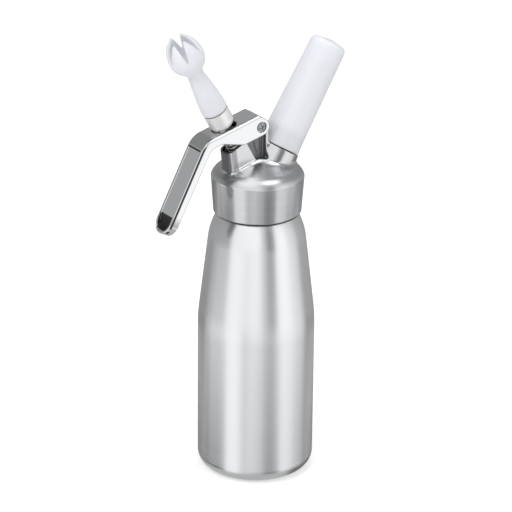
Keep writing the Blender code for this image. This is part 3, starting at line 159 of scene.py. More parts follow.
def skin(name, form, low, high, cell):
    """A smooth closed mesh over a form that lies between two corners: a point in each cell that the
    skin passes, four of them to a face, and each point then drawn onto the form."""
    low = np.array(low, float) - BLOCK * cell
    blocks = np.ceil((np.array(high) - low) / (BLOCK * cell)).astype(int) + 1
    value = sampled(form, low, cell, blocks)
    inside = value < 0
    corners = [(i, j, k) for i in (0, 1) for j in (0, 1) for k in (0, 1)]

    def at(array, corner):
        return array[tuple(slice(c, n - 1 + c) for c, n in zip(corner, array.shape))]

    total = sum(at(inside, c).astype(np.int8) for c in corners)
    mixed = (total > 0) & (total < 8)
    index = np.full(mixed.shape, -1)
    index[mixed] = np.arange(mixed.sum())
    place = np.zeros((mixed.sum(), 3))
    crossings = np.zeros(mixed.sum())
    for a in corners:
        for axis in range(3):
            if a[axis]:
                continue
            b = tuple(1 if i == axis else a[i] for i in range(3))
            va, vb = at(value, a)[mixed], at(value, b)[mixed]
            crossed = (va < 0) != (vb < 0)
            point = np.tile(np.array(a, float), (len(va), 1))
            point[:, axis] = va / np.where(crossed, va - vb, 1.0)
            place += point * crossed[:, None]
            crossings += crossed
    points = low + (np.argwhere(mixed) + 0.5 + place / crossings[:, None]) * cell
    faces = []
    for axis in range(3):
        head = tuple(slice(1, None) if i == axis else slice(None) for i in range(3))
        tail = tuple(slice(None, -1) if i == axis else slice(None) for i in range(3))
        one, two = [i for i in range(3) if i != axis]
        for leaving in (True, False):
            edges = np.argwhere((inside[tail] == leaving) & (inside[head] != leaving))
            ring = []
            for back_one, back_two in ((0, 0), (1, 0), (1, 1), (0, 1)):
                beside = edges.copy()
                beside[:, one] -= back_one
                beside[:, two] -= back_two
                ring.append(index[tuple(beside.T)])
            quads = np.stack(ring, 1)
            faces.append(quads[:, ::-1] if leaving == (axis == 1) else quads)
    pulls, least_growth, least_length = 3, 0.05, 1e-9
    for _ in range(pulls):
        amount, growth = growth_of(form, points)
        step = growth * (amount / np.maximum((growth**2).sum(1), least_growth))[:, None]
        points -= np.clip(step, -cell / 2, cell / 2)
    normals = growth_of(form, points)[1]
    normals /= np.maximum(np.linalg.norm(normals, axis=1), least_length)[:, None]
    mesh = bpy.data.meshes.new(name)
    mesh.from_pydata(points.tolist(), [], np.concatenate(faces).tolist())
    mesh.shade_smooth()
    mesh.normals_split_custom_set_from_vertices(normals.tolist())
    return link(bpy.data.objects.new(name, mesh))


# Turned, carved and wound pieces


def link(piece):
    """Puts a new object in the scene."""
    bpy.context.scene.collection.objects.link(piece)
    return piece


def shade(mesh, sharp=35.0):
    """Smooth shading, with a sharp edge where two faces turn by more than some degrees."""
    mesh.shade_smooth()
    mesh.set_sharp_from_angle(angle=math.radians(sharp))


def made_from(name, shape, place=None, sharp=35.0):
    """An object with the mesh of a bmesh, moved to its place and shaded."""
    bmesh.ops.recalc_face_normals(shape, faces=shape.faces)
    mesh = bpy.data.meshes.new(name)
    shape.to_mesh(mesh)
    shape.free()
    if place is not None:
        mesh.transform(place)
    shade(mesh, sharp)
    return link(bpy.data.objects.new(name, mesh))


def arc(u, v, radius, start, end, count):
    """Points on an arc about (u, v), between two turns in degrees."""
    turns = [math.radians(start + (end - start) * i / count) for i in range(count + 1)]
    return [(u + radius * math.cos(a), v + radius * math.sin(a)) for a in turns]


def eased(outline, radii, count=6):
    """The outline with its corners rounded, each by its own radius. One number rounds them all."""
    if not isinstance(radii, (list, tuple)):
        radii = [radii] * len(outline)
    nearly_straight, most_of_a_side = math.radians(80.0), 0.48
    made = []
    for i, corner in enumerate(outline):
        if radii[i] == 0.0:
            made.append(tuple(corner))
            continue
        here = Vector(corner)
        back = Vector(outline[i - 1]) - here
        ahead = Vector(outline[(i + 1) % len(outline)]) - here
        half = back.angle(ahead) / 2.0
        if half > nearly_straight:
            made.append(tuple(corner))
            continue
        radius = min(radii[i], most_of_a_side * min(back.length, ahead.length) * math.tan(half))
        back, ahead = back.normalized(), ahead.normalized()
        centre = here + (back + ahead).normalized() * (radius / math.sin(half))
        start = here + back * (radius / math.tan(half)) - centre
        end = here + ahead * (radius / math.tan(half)) - centre
        sweep = start.angle(end)
        for k in range(count + 1):
            left = math.sin((1.0 - k / count) * sweep)
            right = math.sin(k / count * sweep)
            made.append(tuple(centre + (start * left + end * right) / math.sin(sweep)))
    return made


def turned(name, outline, steps=96, place=None, ring=True, flutes=None):
    """An outline of (radius, height) turned round Z, joined end to start if it is a ring. flutes gives
    the radius of a point of the outline at a turn."""
    turns = 2 * math.pi * np.arange(steps) / steps
    on_axis = 1e-7
    shape = bmesh.new()
    rows = []
    for r, h in outline:
        if r < on_axis:
            rows.append([shape.verts.new((0.0, 0.0, h))] * steps)
            continue
        radii = [flutes(r, h, t) if flutes else r for t in turns]
        rows.append([shape.verts.new((q * math.cos(t), q * math.sin(t), h)) for q, t in zip(radii, turns)])
    pairs = list(zip(rows, rows[1:] + rows[:1])) if ring else list(zip(rows, rows[1:]))
    for upper, lower in pairs:
        for i in range(steps):
            k = (i + 1) % steps
            loop = [upper[i], lower[i], lower[k], upper[k]]
            loop = [v for n, v in enumerate(loop) if v not in loop[:n]]
            if len(loop) > 2:
                shape.faces.new(loop)
    return made_from(name, shape, place)


def carve(piece, cutters):
    """Cuts pieces away from a turned one for good, and removes them."""
    for cutter in cutters:
        change = piece.modifiers.new(cutter.name, "BOOLEAN")
        change.operation = "DIFFERENCE"
        change.solver = "EXACT"
        change.object = cutter
    bpy.context.view_layer.update()
    graph = bpy.context.evaluated_depsgraph_get()
    mesh = bpy.data.meshes.new_from_object(piece.evaluated_get(graph))
    piece.modifiers.clear()
    piece.data = mesh
    for cutter in cutters:
        bpy.data.objects.remove(cutter, do_unlink=True)
    shade(mesh)
    return piece


def wound(name, line, radius, sides, place):
    """A round wire along a line of points, closed at both ends."""
    shape = bmesh.new()
    rings = []
    side = Vector((1.0, 0.0, 0.0))
    for i, point in enumerate(line):
        ahead = (line[min(i + 1, len(line) - 1)] - line[max(i - 1, 0)]).normalized()
        side = (side - ahead * side.dot(ahead)).normalized()
        up = ahead.cross(side)
        ring = []
        for k in range(sides):
            turn = 2 * math.pi * k / sides
            on_skin = point + side * (radius * math.cos(turn)) + up * (radius * math.sin(turn))
            ring.append(shape.verts.new(on_skin))
        rings.append(ring)
    for lower, upper in zip(rings, rings[1:]):
        for k in range(sides):
            n = (k + 1) % sides
            shape.faces.new((lower[k], lower[n], upper[n], upper[k]))
    shape.faces.new(rings[0])
    shape.faces.new(list(reversed(rings[-1])))
    return made_from(name, shape, place, sharp=50.0)


# Shaders: a class for a socket in sums and products, and two for the nodes round it


class Amount:
    """A node's output. Where it carries a number, sums and products add Math nodes."""

    def __init__(self, shader, socket):
        self.shader = shader
        self.socket = socket

    def _math(self, operation, first, second):
        return self.shader.node("ShaderNodeMath", {"operation": operation}, {0: first, 1: second})

    def __add__(self, other):
        return self._math("ADD", self, other)

    __radd__ = __add__

    def __mul__(self, other):
        return self._math("MULTIPLY", self, other)

    __rmul__ = __mul__

    def __sub__(self, other):
        return self._math("SUBTRACT", self, other)

    def __rsub__(self, other):
        return self._math("SUBTRACT", other, self)

    def above(self, level, softness):
        """1 where the amount is over a level, 0 where it is under, with a soft step between."""
        return self.shader.node(
            "ShaderNodeMapRange",
            {"interpolation_type": "SMOOTHSTEP"},
            {"Value": self, "From Min": level - softness, "From Max": level + softness},
        )

    def span(self, low, high, softness):
        """1 where the amount lies between two levels, soft at both."""
        return self.above(low, softness) * (1.0 - self.above(high, softness))


class Shader:
    """The nodes of a material or of the world."""

    def __init__(self, tree):
        self.tree = tree

    def set(self, node, inputs):
        for key, value in inputs.items():
            if isinstance(value, Amount):
                self.tree.links.new(value.socket, node.inputs[key])
            else:
                node.inputs[key].default_value = value

    def node(self, kind, settings=None, inputs=None, output=0):
        """Adds a node with its settings and its inputs, and gives one of its outputs."""
        made = self.tree.nodes.new(kind)
        for key, value in (settings or {}).items():
            setattr(made, key, value)
        self.set(made, inputs or {})
        return Amount(self, made.outputs[output])

    def vector(self, operation, first, second=(0.0, 0.0, 0.0), output=0):
        return self.node("ShaderNodeVectorMath", {"operation": operation}, {0: first, 1: second}, output)

    def tint(self, mask, low, high):
        """A colour between two, by a mask. Each is a colour or a tint."""
        first, second = [c if isinstance(c, Amount) else (*c, 1.0) for c in (low, high)]
        inputs = {"Factor": mask, "A": first, "B": second}
        return self.node("ShaderNodeMix", {"data_type": "RGBA"}, inputs, "Result")


class Finish(Shader):
    """A material that is built node by node."""

    def __init__(self, name, colour, **constants):
        self.material = bpy.data.materials.new(name)
        self.material.use_nodes = True
        super().__init__(self.material.node_tree)
        self.surface = self.tree.nodes["Principled BSDF"]
        self.give(Base_Color=(*colour, 1.0), **constants)
        self.material.diffuse_color = (*colour, 1.0)

    def give(self, **inputs):
        """Sets or links the shader's own sockets, with _ for a space in a name."""
        self.set(self.surface, {key.replace("_", " "): value for key, value in inputs.items()})

    def place(self, scale=(1.0, 1.0, 1.0)):
        """The point on the object, stretched by a scale."""
        return self.vector("MULTIPLY", self.node("ShaderNodeTexCoord", output="Object"), scale)

    def grain(self, across, along, detail):
        """A noise from 0 to 1, with its own fineness across and along the upright axis."""
        stretched = self.place((across, across, along))
        return self.node("ShaderNodeTexNoise", None, {"Vector": stretched, "Scale": 1.0, "Detail": detail})

    def distance(self, way, start=(0.0, 0.0, 0.0)):
        """How far the point on the object lies from a start, measured along a way."""
        spot = self.vector("SUBTRACT", self.place(), tuple(start))
        return self.vector("DOT_PRODUCT", spot, tuple(way), "Value")

    def side_distance(self, way, start):
        """The same, for a way and a start drawn in the side view."""
        return self.distance((way.x, 0.0, way.y), (start.x, 0.0, start.y))

    def width(self):
        """How far the point lies from the plane y = 0."""
        return self.node("ShaderNodeMath", {"operation": "ABSOLUTE"}, {0: self.distance((0.0, 1.0, 0.0))})

    def relief(self, height, depth):
        """Turns a height into a small bump, depth metres high."""
        made = self.node("ShaderNodeBump", None, {"Height": height, "Distance": depth, "Strength": 1.0})
        self.give(Normal=made)


# Bottle


def offset_line(line, distance):
    """The line moved to its right by a distance, its ends square to where they were."""
    moved = []
    for i, point in enumerate(line):
        back = Vector(line[max(i - 1, 0)])
        here = Vector(point)
        ahead = Vector(line[min(i + 1, len(line) - 1)])
        first = (here - back) if i else (ahead - here)
        second = (ahead - here) if i < len(line) - 1 else (here - back)
        way = (first.normalized() + second.normalized()).normalized()
        bend = max(way.dot(first.normalized()), 0.5)
        moved.append((here.x + way.y * distance / bend, here.y - way.x * distance / bend))
    return moved


def make_bottle():
    """Straight wall, taper, rounded shoulder and neck, with a pressed ring in the base."""
    radius, wall, foot = 0.0410, 0.0018, 0.0105
    neck, neck_foot, neck_top, rim = 0.0269, 0.1965, 0.2139, 0.0004
    taper, bend, corner = math.radians(6.8), 0.150, 0.1149
    shoulder, shoulder_start, under_skirt = 0.0460, 0.1730, HEAD_LOW
    groove, groove_half, groove_depth = 0.0265, 0.0022, 0.0008
    start_radius = radius - (shoulder_start - corner) * math.tan(taper)
    centre = (start_radius - shoulder * math.cos(taper), shoulder_start - shoulder * math.sin(taper))
    turn_in = math.degrees(math.asin((under_skirt - centre[1]) / shoulder))
    bend_low = corner - bend * math.tan(taper / 2.0)
    line = [(neck, neck_top - rim), (neck, neck_foot)]
    line += arc(*centre, shoulder, turn_in, math.degrees(taper), 24)
    line += arc(radius - bend, bend_low, bend, math.degrees(taper), 0.0, 12)
    line += arc(radius - foot, foot, foot, 0.0, -90.0, 16)
    for side, share in ((1.0, 0.0), (0.5, 0.75), (0.0, 1.0), (-0.5, 0.75), (-1.0, 0.0)):
        line.append((groove + groove_half * side, groove_depth * share))
    line.append((0.0, 0.0))
    outer = [(neck - rim, neck_top), *line]
    inner = offset_line([(neck, neck_top), *line[1:-1]], wall)
    inner += [(0.0, wall)]
    return turned("brushed_bottle", [*outer, *reversed(inner)], 192)


# Head: turned skirt and dome, with the turret, the hinge's post and the charger's boss cast on it

LEDGE = 0.2171
POST_HALF = 0.0071
DOME_SLOPE = math.radians(20.0)
TURRET_TILT = math.radians(8.0)
TURRET_FOOT = (-0.0152, 0.0, 0.2200)
PAST_AXIS = -0.02  # outlines of turned forms run on past their axis


def head_outline():
    """The skirt and the dome in half section."""
    corner_radius, corner_end = 0.0108, 17.0
    skirt_edge, skirt_low = (0.0305, 0.1933), (0.0297, HEAD_LOW)
    bore, bore_low, mouth, lid_bore, lid = 0.0273, 0.1950, 0.0284, 0.0210, 0.2130
    corner = arc(0.0219, 0.2152, corner_radius, 90.0 - math.degrees(DOME_SLOPE), corner_end, 18)
    crown = corner[0][1] + corner[0][0] * math.tan(DOME_SLOPE)
    sharp = [
        (PAST_AXIS, crown), (0.0, crown), *corner, skirt_edge, skirt_low, (mouth, HEAD_LOW),
        (bore, bore_low), (bore, LEDGE), (lid_bore, LEDGE), (lid_bore, lid), (PAST_AXIS, lid),
    ]
    return eased(sharp, PLAIN, 4)


def post_outline():
    """The hinge's post from its side, round over the pivot."""
    back, back_top, eye, foot = 0.0040, 0.2572, 0.0062, 0.2170
    web, web_top = -0.0113, 0.2468
    return [(back, foot), (back, back_top), *arc(PIVOT.x, PIVOT.z, eye, 60.0, 180.0, 14), (web, web_top),
            (web, foot)]


def boss_outline():
    """The charger's boss in half section: its seat, and the threaded neck over it."""
    neck, neck_top, seat, foot, foot_low = 0.0106, 0.0440, 0.0152, 0.0166, 0.0130
    sharp = [(PAST_AXIS, neck_top), (neck, neck_top), (neck, BOSS_SEAT), (seat, BOSS_SEAT),
             (foot, foot_low), (PAST_AXIS, foot_low)]
    return eased(sharp, [0.0, 0.0006, CRISP, 0.0007, 0.0, 0.0], 4)


def stepped_bore(top, steps):
    """Half the section of a bore in steps, each with its radius and its lower end."""
    outline = [(PAST_AXIS, top)]
    for radius, low in steps:
        outline += [(radius, top), (radius, low)]
        top = low
    return [*outline, (PAST_AXIS, top)]


HEAD_OUTLINE = head_outline()
POST_OUTLINE = post_outline()
POCKET_OUTLINE = eased([(0.0019, 0.2500), (-0.0157, 0.2500), (-0.0061, 0.2326), (0.0019, 0.2326)], 0.0016)
POCKET_DEPTH = 0.0036
RIB_LINE = [(-0.0072, 0.2490), (-0.0046, 0.2388), (-0.0031, 0.2368), (-0.0014, 0.2388), (-0.0014, 0.2470)]
BOSS_OUTLINE = boss_outline()
VALVE_BORES = stepped_bore(0.05, [(0.0062, WELL_FLOOR), (0.0044, 0.0102), (0.0076, -0.004)])
CHARGER_BORES = stepped_bore(0.05, [(0.0052, GASKET_SEAT), (0.0034, 0.0247), (0.0014, 0.0)])


def turret_form(x, y, z, valve_along):
    """A slight cone with a facet at each side, cut square to the valve."""
    radius, draft, facet_lean, facet_start = 0.0107, 0.0005 / 0.0320, math.radians(4.0), -0.0077
    facet_edge, top = 0.0007, 0.0410
    across, along = tilted(x, z, -TURRET_TILT, TURRET_FOOT)
    cone = np.hypot(across, y) - radius + along * draft
    facet = (np.abs(y) - POST_HALF) * math.cos(facet_lean) - (across - facet_start) * math.sin(facet_lean)
    return meet(meet(cone, facet, facet_edge), valve_along - top, EASY)


def pocket_form(x, y, z):
    """The cast pocket in each side of the post, with the bead on its floor."""
    bead, bead_half, bead_foot = 0.00045, 0.0001, 0.0006
    raised = bead * (1 - eased_step(line_distance(RIB_LINE, x, z), bead_half, bead_foot))
    return meet(outline_distance(POCKET_OUTLINE, x, z), POST_HALF - POCKET_DEPTH + raised - np.abs(y), SOFT)


def head_form(x, y, z):
    """The whole casting: what stands on the dome, its milled sides, its pockets and its bores."""
    cast_over, cast_edge, step, dome_low, into_body = 0.0003, 0.0010, 0.0013, 0.2176, 0.0003
    root, boss_root = 0.0030, 0.0026
    mouth_radius, mouth_half, mouth_low = 0.0084, 0.0058, 0.0380
    body = outline_distance(HEAD_OUTLINE, np.hypot(x, y), z)
    valve_across, valve_along = tilted(x, z, -VALVE_TILT)
    boss_across, boss_along = tilted(x, z, CHARGER_TILT)
    valve_radius, boss_radius = np.hypot(valve_across, y), np.hypot(boss_across, y)
    floor = LEDGE + into_body - z
    flat = np.abs(y) - POST_HALF
    upper = join(turret_form(x, y, z, valve_along), outline_distance(POST_OUTLINE, x, z), SOFT)
    upper = meet(meet(upper, flat - cast_over, cast_edge), floor)
    boss = meet(outline_distance(BOSS_OUTLINE, boss_radius, boss_along), floor)
    # Both sides of the turret and the post are milled flat, down to a step just over the dome
    milled = meet(-flat, step - body, PLAIN)
    whole = cut(join(body, upper, root), milled, KEEN)
    whole = join(whole, boss, boss_root)
    whole = np.where(z > dome_low, whole, np.minimum(body, np.minimum(upper, boss)))
    whole = cut(whole, pocket_form(x, y, z), EASY)
    whole = cut(whole, outline_distance(VALVE_BORES, valve_radius, valve_along), PLAIN)
    mouth = meet(valve_radius - mouth_radius, mouth_low - valve_along, CRISP)
    whole = cut(whole, meet(mouth, np.abs(y) - mouth_half, CRISP), KEEN)
    whole = cut(whole, outline_distance(CHARGER_BORES, boss_radius, boss_along), CRISP)
    return cut(whole, np.hypot(x - PIVOT.x, z - PIVOT.z) - PIVOT_BORE, CRISP)


def make_head():
    return skin("cast_head", head_form, *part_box("head"), 0.0005)


# Lever, drawn from its side about the pivot

PLATE_SLOPE = math.radians(15.6)
HANDLE_LEAN = math.radians(27.3)
HALF_WIDTH = 0.0092
CHEEK = 0.0017
RIM = 0.0017
PLATE = 0.0021
BEND_RADIUS = 0.0150
HANDLE_LENGTH = 0.0687
HANDLE_DEPTH = 0.0073
RECESS_DEPTH = 0.0007
SCOOP_START, SCOOP_END = 0.0548, 0.0663
CAM_RADIUS = 0.0020
PLATE_ALONG = Vector((-math.cos(PLATE_SLOPE), -math.sin(PLATE_SLOPE)))
PLATE_IN = Vector((-PLATE_ALONG.y, PLATE_ALONG.x))
HANDLE_ALONG = Vector((-math.sin(HANDLE_LEAN), -math.cos(HANDLE_LEAN)))
HANDLE_IN = Vector((-HANDLE_ALONG.y, HANDLE_ALONG.x))
EYE = Vector((PIVOT.x, PIVOT.z))
PLATE_END = EYE + Vector((-0.0023, 0.0086))
CORNER = PLATE_END + PLATE_ALONG * (0.0425 / math.cos(PLATE_SLOPE))
RECESS_START = BEND_RADIUS * math.tan((math.pi / 2 - HANDLE_LEAN - PLATE_SLOPE) / 2.0)
VALVE_UP = Vector((-math.sin(VALVE_TILT), math.cos(VALVE_TILT)))
VALVE_FOOT = Vector((AXES_MEET.x, AXES_MEET.z))
CAM = VALVE_FOOT + VALVE_UP * (COLLAR_TOP + GAP + CAM_RADIUS)


def crossing(first, first_way, second, second_way):
    """Where two lines in the side view meet."""
    turn = first_way.x * second_way.y - first_way.y * second_way.x
    offset = second - first
    return first + first_way * ((offset.x * second_way.y - offset.y * second_way.x) / turn)


def side_outline(points, radii=0.0):
    """An outline through vectors in the side view, its corners rounded."""
    return eased([tuple(p) for p in points], radii, 12)


def lever_outline():
    """From the plate's end round the ear, along the cheek's lower edge, up the handle's face."""
    ear, front_at, neck_at, neck_depth, tip_depth = 0.0064, -0.0208, -0.0362, 0.0070, 0.0068
    reach = PLATE_END - EYE
    start = math.degrees(math.atan2(reach.y, reach.x) - math.acos(ear / reach.length))
    lower = math.degrees(math.atan2(PLATE_IN.y, PLATE_IN.x))
    ear_arc = arc(EYE.x, EYE.y, ear, start, lower, 16)
    below = PLATE_END + PLATE_IN * (ear - reach.dot(PLATE_IN))
    front = below + PLATE_ALONG * ((PLATE_END.x - front_at) / math.cos(PLATE_SLOPE))
    neck = PLATE_END + PLATE_IN * neck_depth + PLATE_ALONG * ((PLATE_END.x - neck_at) / math.cos(PLATE_SLOPE))
    tip = CORNER + HANDLE_ALONG * HANDLE_LENGTH
    tip_in = tip + HANDLE_IN * tip_depth
    under = CORNER + HANDLE_IN * HANDLE_DEPTH
    inner = crossing(neck, PLATE_ALONG, under, tip_in - under)
    points = [PLATE_END, *[Vector(p) for p in ear_arc], front, neck, inner, tip_in, tip, CORNER]
    inner_bend = BEND_RADIUS - HANDLE_DEPTH
    return side_outline(points, [0.0] * (1 + len(ear_arc)) + [inner_bend] * 3 + [0.0, 0.0, BEND_RADIUS])


def channel_outline():
    """The hollow under the plate and the handle."""
    handle_reach, plate_reach, handle_deep, plate_deep = 0.0520, 0.0208, 0.0113, 0.0200
    end = CORNER + HANDLE_ALONG * handle_reach
    plate_under = PLATE_END + PLATE_IN * PLATE
    corner = crossing(plate_under, PLATE_ALONG, end + HANDLE_IN * PLATE, HANDLE_ALONG)
    start = plate_under - PLATE_ALONG * plate_reach
    points = [
        start, corner, end + HANDLE_IN * PLATE, end + HANDLE_IN * handle_deep,
        corner + PLATE_IN * plate_deep + HANDLE_IN * HANDLE_DEPTH, start + PLATE_IN * plate_deep,
    ]
    return side_outline(points, [0.0, BEND_RADIUS - PLATE, 0.0, 0.0, 0.0, 0.0])


def recess_outline():
    """The shallow recess in the handle's face, with the deeper scoop near its end."""
    scoop_radius, over, count = 0.0120, 0.0040, 12
    floor, above = HANDLE_IN * RECESS_DEPTH, HANDLE_IN * -over
    start = CORNER + HANDLE_ALONG * RECESS_START
    end = CORNER + HANDLE_ALONG * HANDLE_LENGTH
    half = (SCOOP_END - SCOOP_START) / 2.0
    drop = math.sqrt(scoop_radius**2 - half**2)
    centre = CORNER + HANDLE_ALONG * ((SCOOP_START + SCOOP_END) / 2.0) + floor - HANDLE_IN * drop
    scoop = []
    for i in range(count + 1):
        turn = math.asin(half / scoop_radius) * (2.0 * i / count - 1.0)
        down = HANDLE_IN * (scoop_radius * math.cos(turn))
        scoop.append(centre + down + HANDLE_ALONG * (scoop_radius * math.sin(turn)))
    return side_outline([start + above, start + floor, *scoop, end + floor, end + above])


LEVER_OUTLINE = lever_outline()
CHANNEL_OUTLINE = channel_outline()
RECESS_OUTLINE = recess_outline()
WINDOW = crossing(VALVE_FOOT, VALVE_UP, PLATE_END, PLATE_ALONG)


def lever_form(x, y, z):
    """A bent channel with its two cams, the stem's window, the recessed face and the screw's hole."""
    skin_edge, cam_start, head_seat, head_depth = 0.0009, 0.0049, 0.0037, 0.0012
    window_length, window_width, window_deep = 0.0091, 0.0073, 0.0030
    width = np.abs(y)
    side = outline_distance(LEVER_OUTLINE, x, z)
    down_handle = (x - CORNER.x) * HANDLE_ALONG.x + (z - CORNER.y) * HANDLE_ALONG.y
    round_end = np.maximum(down_handle - (HANDLE_LENGTH - HALF_WIDTH), 0.0)
    lever = meet(side, np.hypot(round_end, y) - HALF_WIDTH, skin_edge)
    hollow = meet(outline_distance(CHANNEL_OUTLINE, x, z), width - (HALF_WIDTH - CHEEK), SOFT)
    lever = cut(lever, hollow, PLAIN)
    cam = meet(np.hypot(x - CAM.x, z - CAM.y) - CAM_RADIUS, cam_start - width, PLAIN)
    lever = join(lever, meet(cam, width - (HALF_WIDTH - CHEEK / 2)), EASY)
    down_plate = (x - WINDOW.x) * PLATE_ALONG.x + (z - WINDOW.y) * PLATE_ALONG.y
    into_plate = (x - WINDOW.x) * PLATE_IN.x + (z - WINDOW.y) * PLATE_IN.y
    past_middle = np.maximum(np.abs(down_plate) - (window_length - window_width), 0.0)
    window = np.hypot(past_middle, y) - window_width
    lever = cut(lever, meet(window, np.abs(into_plate) - window_deep), EASY)
    recess_plan = np.hypot(round_end, y) - (HALF_WIDTH - RIM)
    lever = cut(lever, meet(outline_distance(RECESS_OUTLINE, x, z), recess_plan, CRISP), CRISP)
    from_eye = np.hypot(x - EYE.x, z - EYE.y)
    lever = cut(lever, from_eye - PIVOT_BORE, KEEN)
    return cut(lever, meet(from_eye - head_seat, (HALF_WIDTH - head_depth) - width), KEEN)


def make_lever():
    return skin("chromed_lever", lever_form, *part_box("lever"), 0.00036)


# Hinge screw, sleeve and the turned pieces on the valve's stem


def make_pivot_screw():
    """The cross-recessed screw from the near side, a little domed at its edge."""
    head, height, shank, length = 0.0031, 0.0009, 0.0012, 0.0105
    bar_size, first_bar = (0.0042, 0.0010, 0.0014, 1.0), 20.0
    top = HALF_WIDTH
    outline = [(0.0, top), (head, top), (head, top - height), (shank, top - height), (shank, top - length)]
    outline = eased([*outline, (0.0, top - length)], [0.0, 0.0007, 0.0001, KEEN, KEEN, 0.0], 5)
    near = Matrix.Translation(PIVOT) @ Matrix.Rotation(math.radians(90.0), 4, "X")
    screw = turned("cross_recessed_screw", outline, 72, near, ring=False)
    bars = []
    for turn in (first_bar, first_bar + 90.0):
        shape = bmesh.new()
        bmesh.ops.create_cube(shape, size=1.0)
        shape.transform(Matrix.Diagonal(bar_size))
        spin = Matrix.Rotation(math.radians(turn), 4, "Z")
        bars.append(made_from("bar", shape, near @ Matrix.Translation((0, 0, top)) @ spin))
    return carve(screw, bars)


def make_pivot_sleeve():
    """The headed sleeve from the far side, bored for the screw."""
    head, height, sleeve, bore, bore_floor, short_of_screw = 0.0035, 0.0009, 0.0022, 0.0015, 0.0053, 0.0010
    top, end = HALF_WIDTH, -(HALF_WIDTH - height - short_of_screw)
    outline = [(0.0, top), (head, top), (head, top - height), (sleeve, top - height), (sleeve, end)]
    outline += [(bore, end), (bore, bore_floor), (0.0, bore_floor)]
    outline = eased(outline, [0.0, PLAIN, 0.0001, KEEN, KEEN, KEEN, 0.0001, 0.0], 5)
    far = Matrix.Translation(PIVOT) @ Matrix.Rotation(math.radians(-90.0), 4, "X")
    return turned("headed_sleeve", outline, 72, far, ring=False)


def make_stem_collar():
    inner, outer = 0.0043, 0.0071
    outline = [(inner, COLLAR_TOP), (outer, COLLAR_TOP), (outer, COLLAR_FOOT), (inner, COLLAR_FOOT)]
    return turned("turned_collar", eased(outline, [KEEN, 0.0006, CRISP, KEEN]), 96, VALVE)


def make_nozzle_adapter():
    """The bright ring under the tip, with the thread that the tip screws on."""
    thread, thread_top, passage, socket, floor = 0.0054, ADAPTER_TOP + 0.0075, 0.0026, 0.0043, 0.0663
    ring, ring_low, foot_radius, foot = 0.0088, 0.0615, 0.0078, 0.0593
    outline = [
        (passage, thread_top), (thread, thread_top), (thread, ADAPTER_TOP), (ring, ADAPTER_TOP),
        (ring, ring_low), (foot_radius, foot), (socket, foot), (socket, floor), (passage, floor),
    ]
    radii = [KEEN, PLAIN, 0.0001, EASY, 0.0012, PLAIN, KEEN, 0.0, 0.0]
    return turned("bright_ring", eased(outline, radii), 128, VALVE)


def make_valve_spring():
    """The wound wire between the gland and the collar, with its foot and the share that it keeps."""
    wire, coil, turns, bend = 0.00055, 0.0051, 6, 0.0012
    gland, travel = 0.0045, 0.00395
    bottom, top = WELL_FLOOR + GAP + gland + GAP, COLLAR_FOOT - GAP
    coil_bottom, coil_top = bottom + 2 * wire + bend, top - 2 * wire - bend
    lead = bend / coil
    quarter = [math.radians(90.0 * i / 6) for i in range(6)]
    count = 48 * turns
    line = [(-lead, bottom)]
    line += [(-lead * math.cos(a), coil_bottom - bend * (1 - math.sin(a))) for a in quarter]
    line += [(2 * math.pi * turns * i / count, coil_bottom + (coil_top - coil_bottom) * i / count)
             for i in range(count + 1)]
    last = line[-1][0]
    line += [(last + lead * math.cos(a), coil_top + bend * (1 - math.sin(a))) for a in reversed(quarter)]
    line.append((last + lead, top))
    points = [Vector((coil * math.cos(a), coil * math.sin(a), h)) for a, h in line]
    spring = wound("wound_spring", points, wire, 14, VALVE)
    return spring, VALVE @ Vector((0.0, 0.0, bottom)), (top - bottom - travel) / (top - bottom)


# Cream tip: a turned tulip with six prongs between V-shaped clefts

PRONGS = 6
TIP = VALVE @ Matrix.Translation((0.0, 0.0, ADAPTER_TOP + GAP))
BELL_RADIUS = 0.0124
BELL_CENTRE = 0.0456
BELL_TOP = 0.0614
BELL_MOUTH = 0.0072


def tip_outline():
    """The tulip in half section: bell, waist, foot, and the socket that screws on the adapter."""
    wall, waist, waist_height, passage, bell_start = 0.0021, 0.0056, 0.0325, 0.0034, -3.0
    cone, cone_height, foot, socket, socket_top = 0.0086, 0.0100, 0.0091, 0.0057, 0.0085
    rise, fall = BELL_TOP - BELL_CENTRE, BELL_RADIUS - BELL_MOUTH
    lip = (rise * rise + fall * fall) / (2.0 * fall)
    lip_turn = math.degrees(math.asin(rise / lip))

    def bell(lip_radius, radius, narrowest):
        end = -math.degrees(math.acos(narrowest / radius))
        upper = arc(BELL_RADIUS - lip, BELL_CENTRE, lip_radius, lip_turn, 0.0, 12)
        return upper + arc(0.0, BELL_CENTRE, radius, bell_start, end, 14)

    outer = bell(lip, BELL_RADIUS, waist + wall)
    inner = bell(lip - wall, BELL_RADIUS - wall, passage)
    below = [(waist, waist_height), (cone, cone_height), (foot, 0.0), (socket, 0.0), (socket, socket_top),
             (passage, socket_top)]
    radii = [0.0] * len(outer) + [0.0040, 0.0030, PLAIN, CRISP, 0.0, 0.0] + [0.0] * len(inner)
    radii[0] = radii[-1] = EASY
    return eased([*outer, *below, *reversed(inner)], radii)


TIP_OUTLINE = tip_outline()


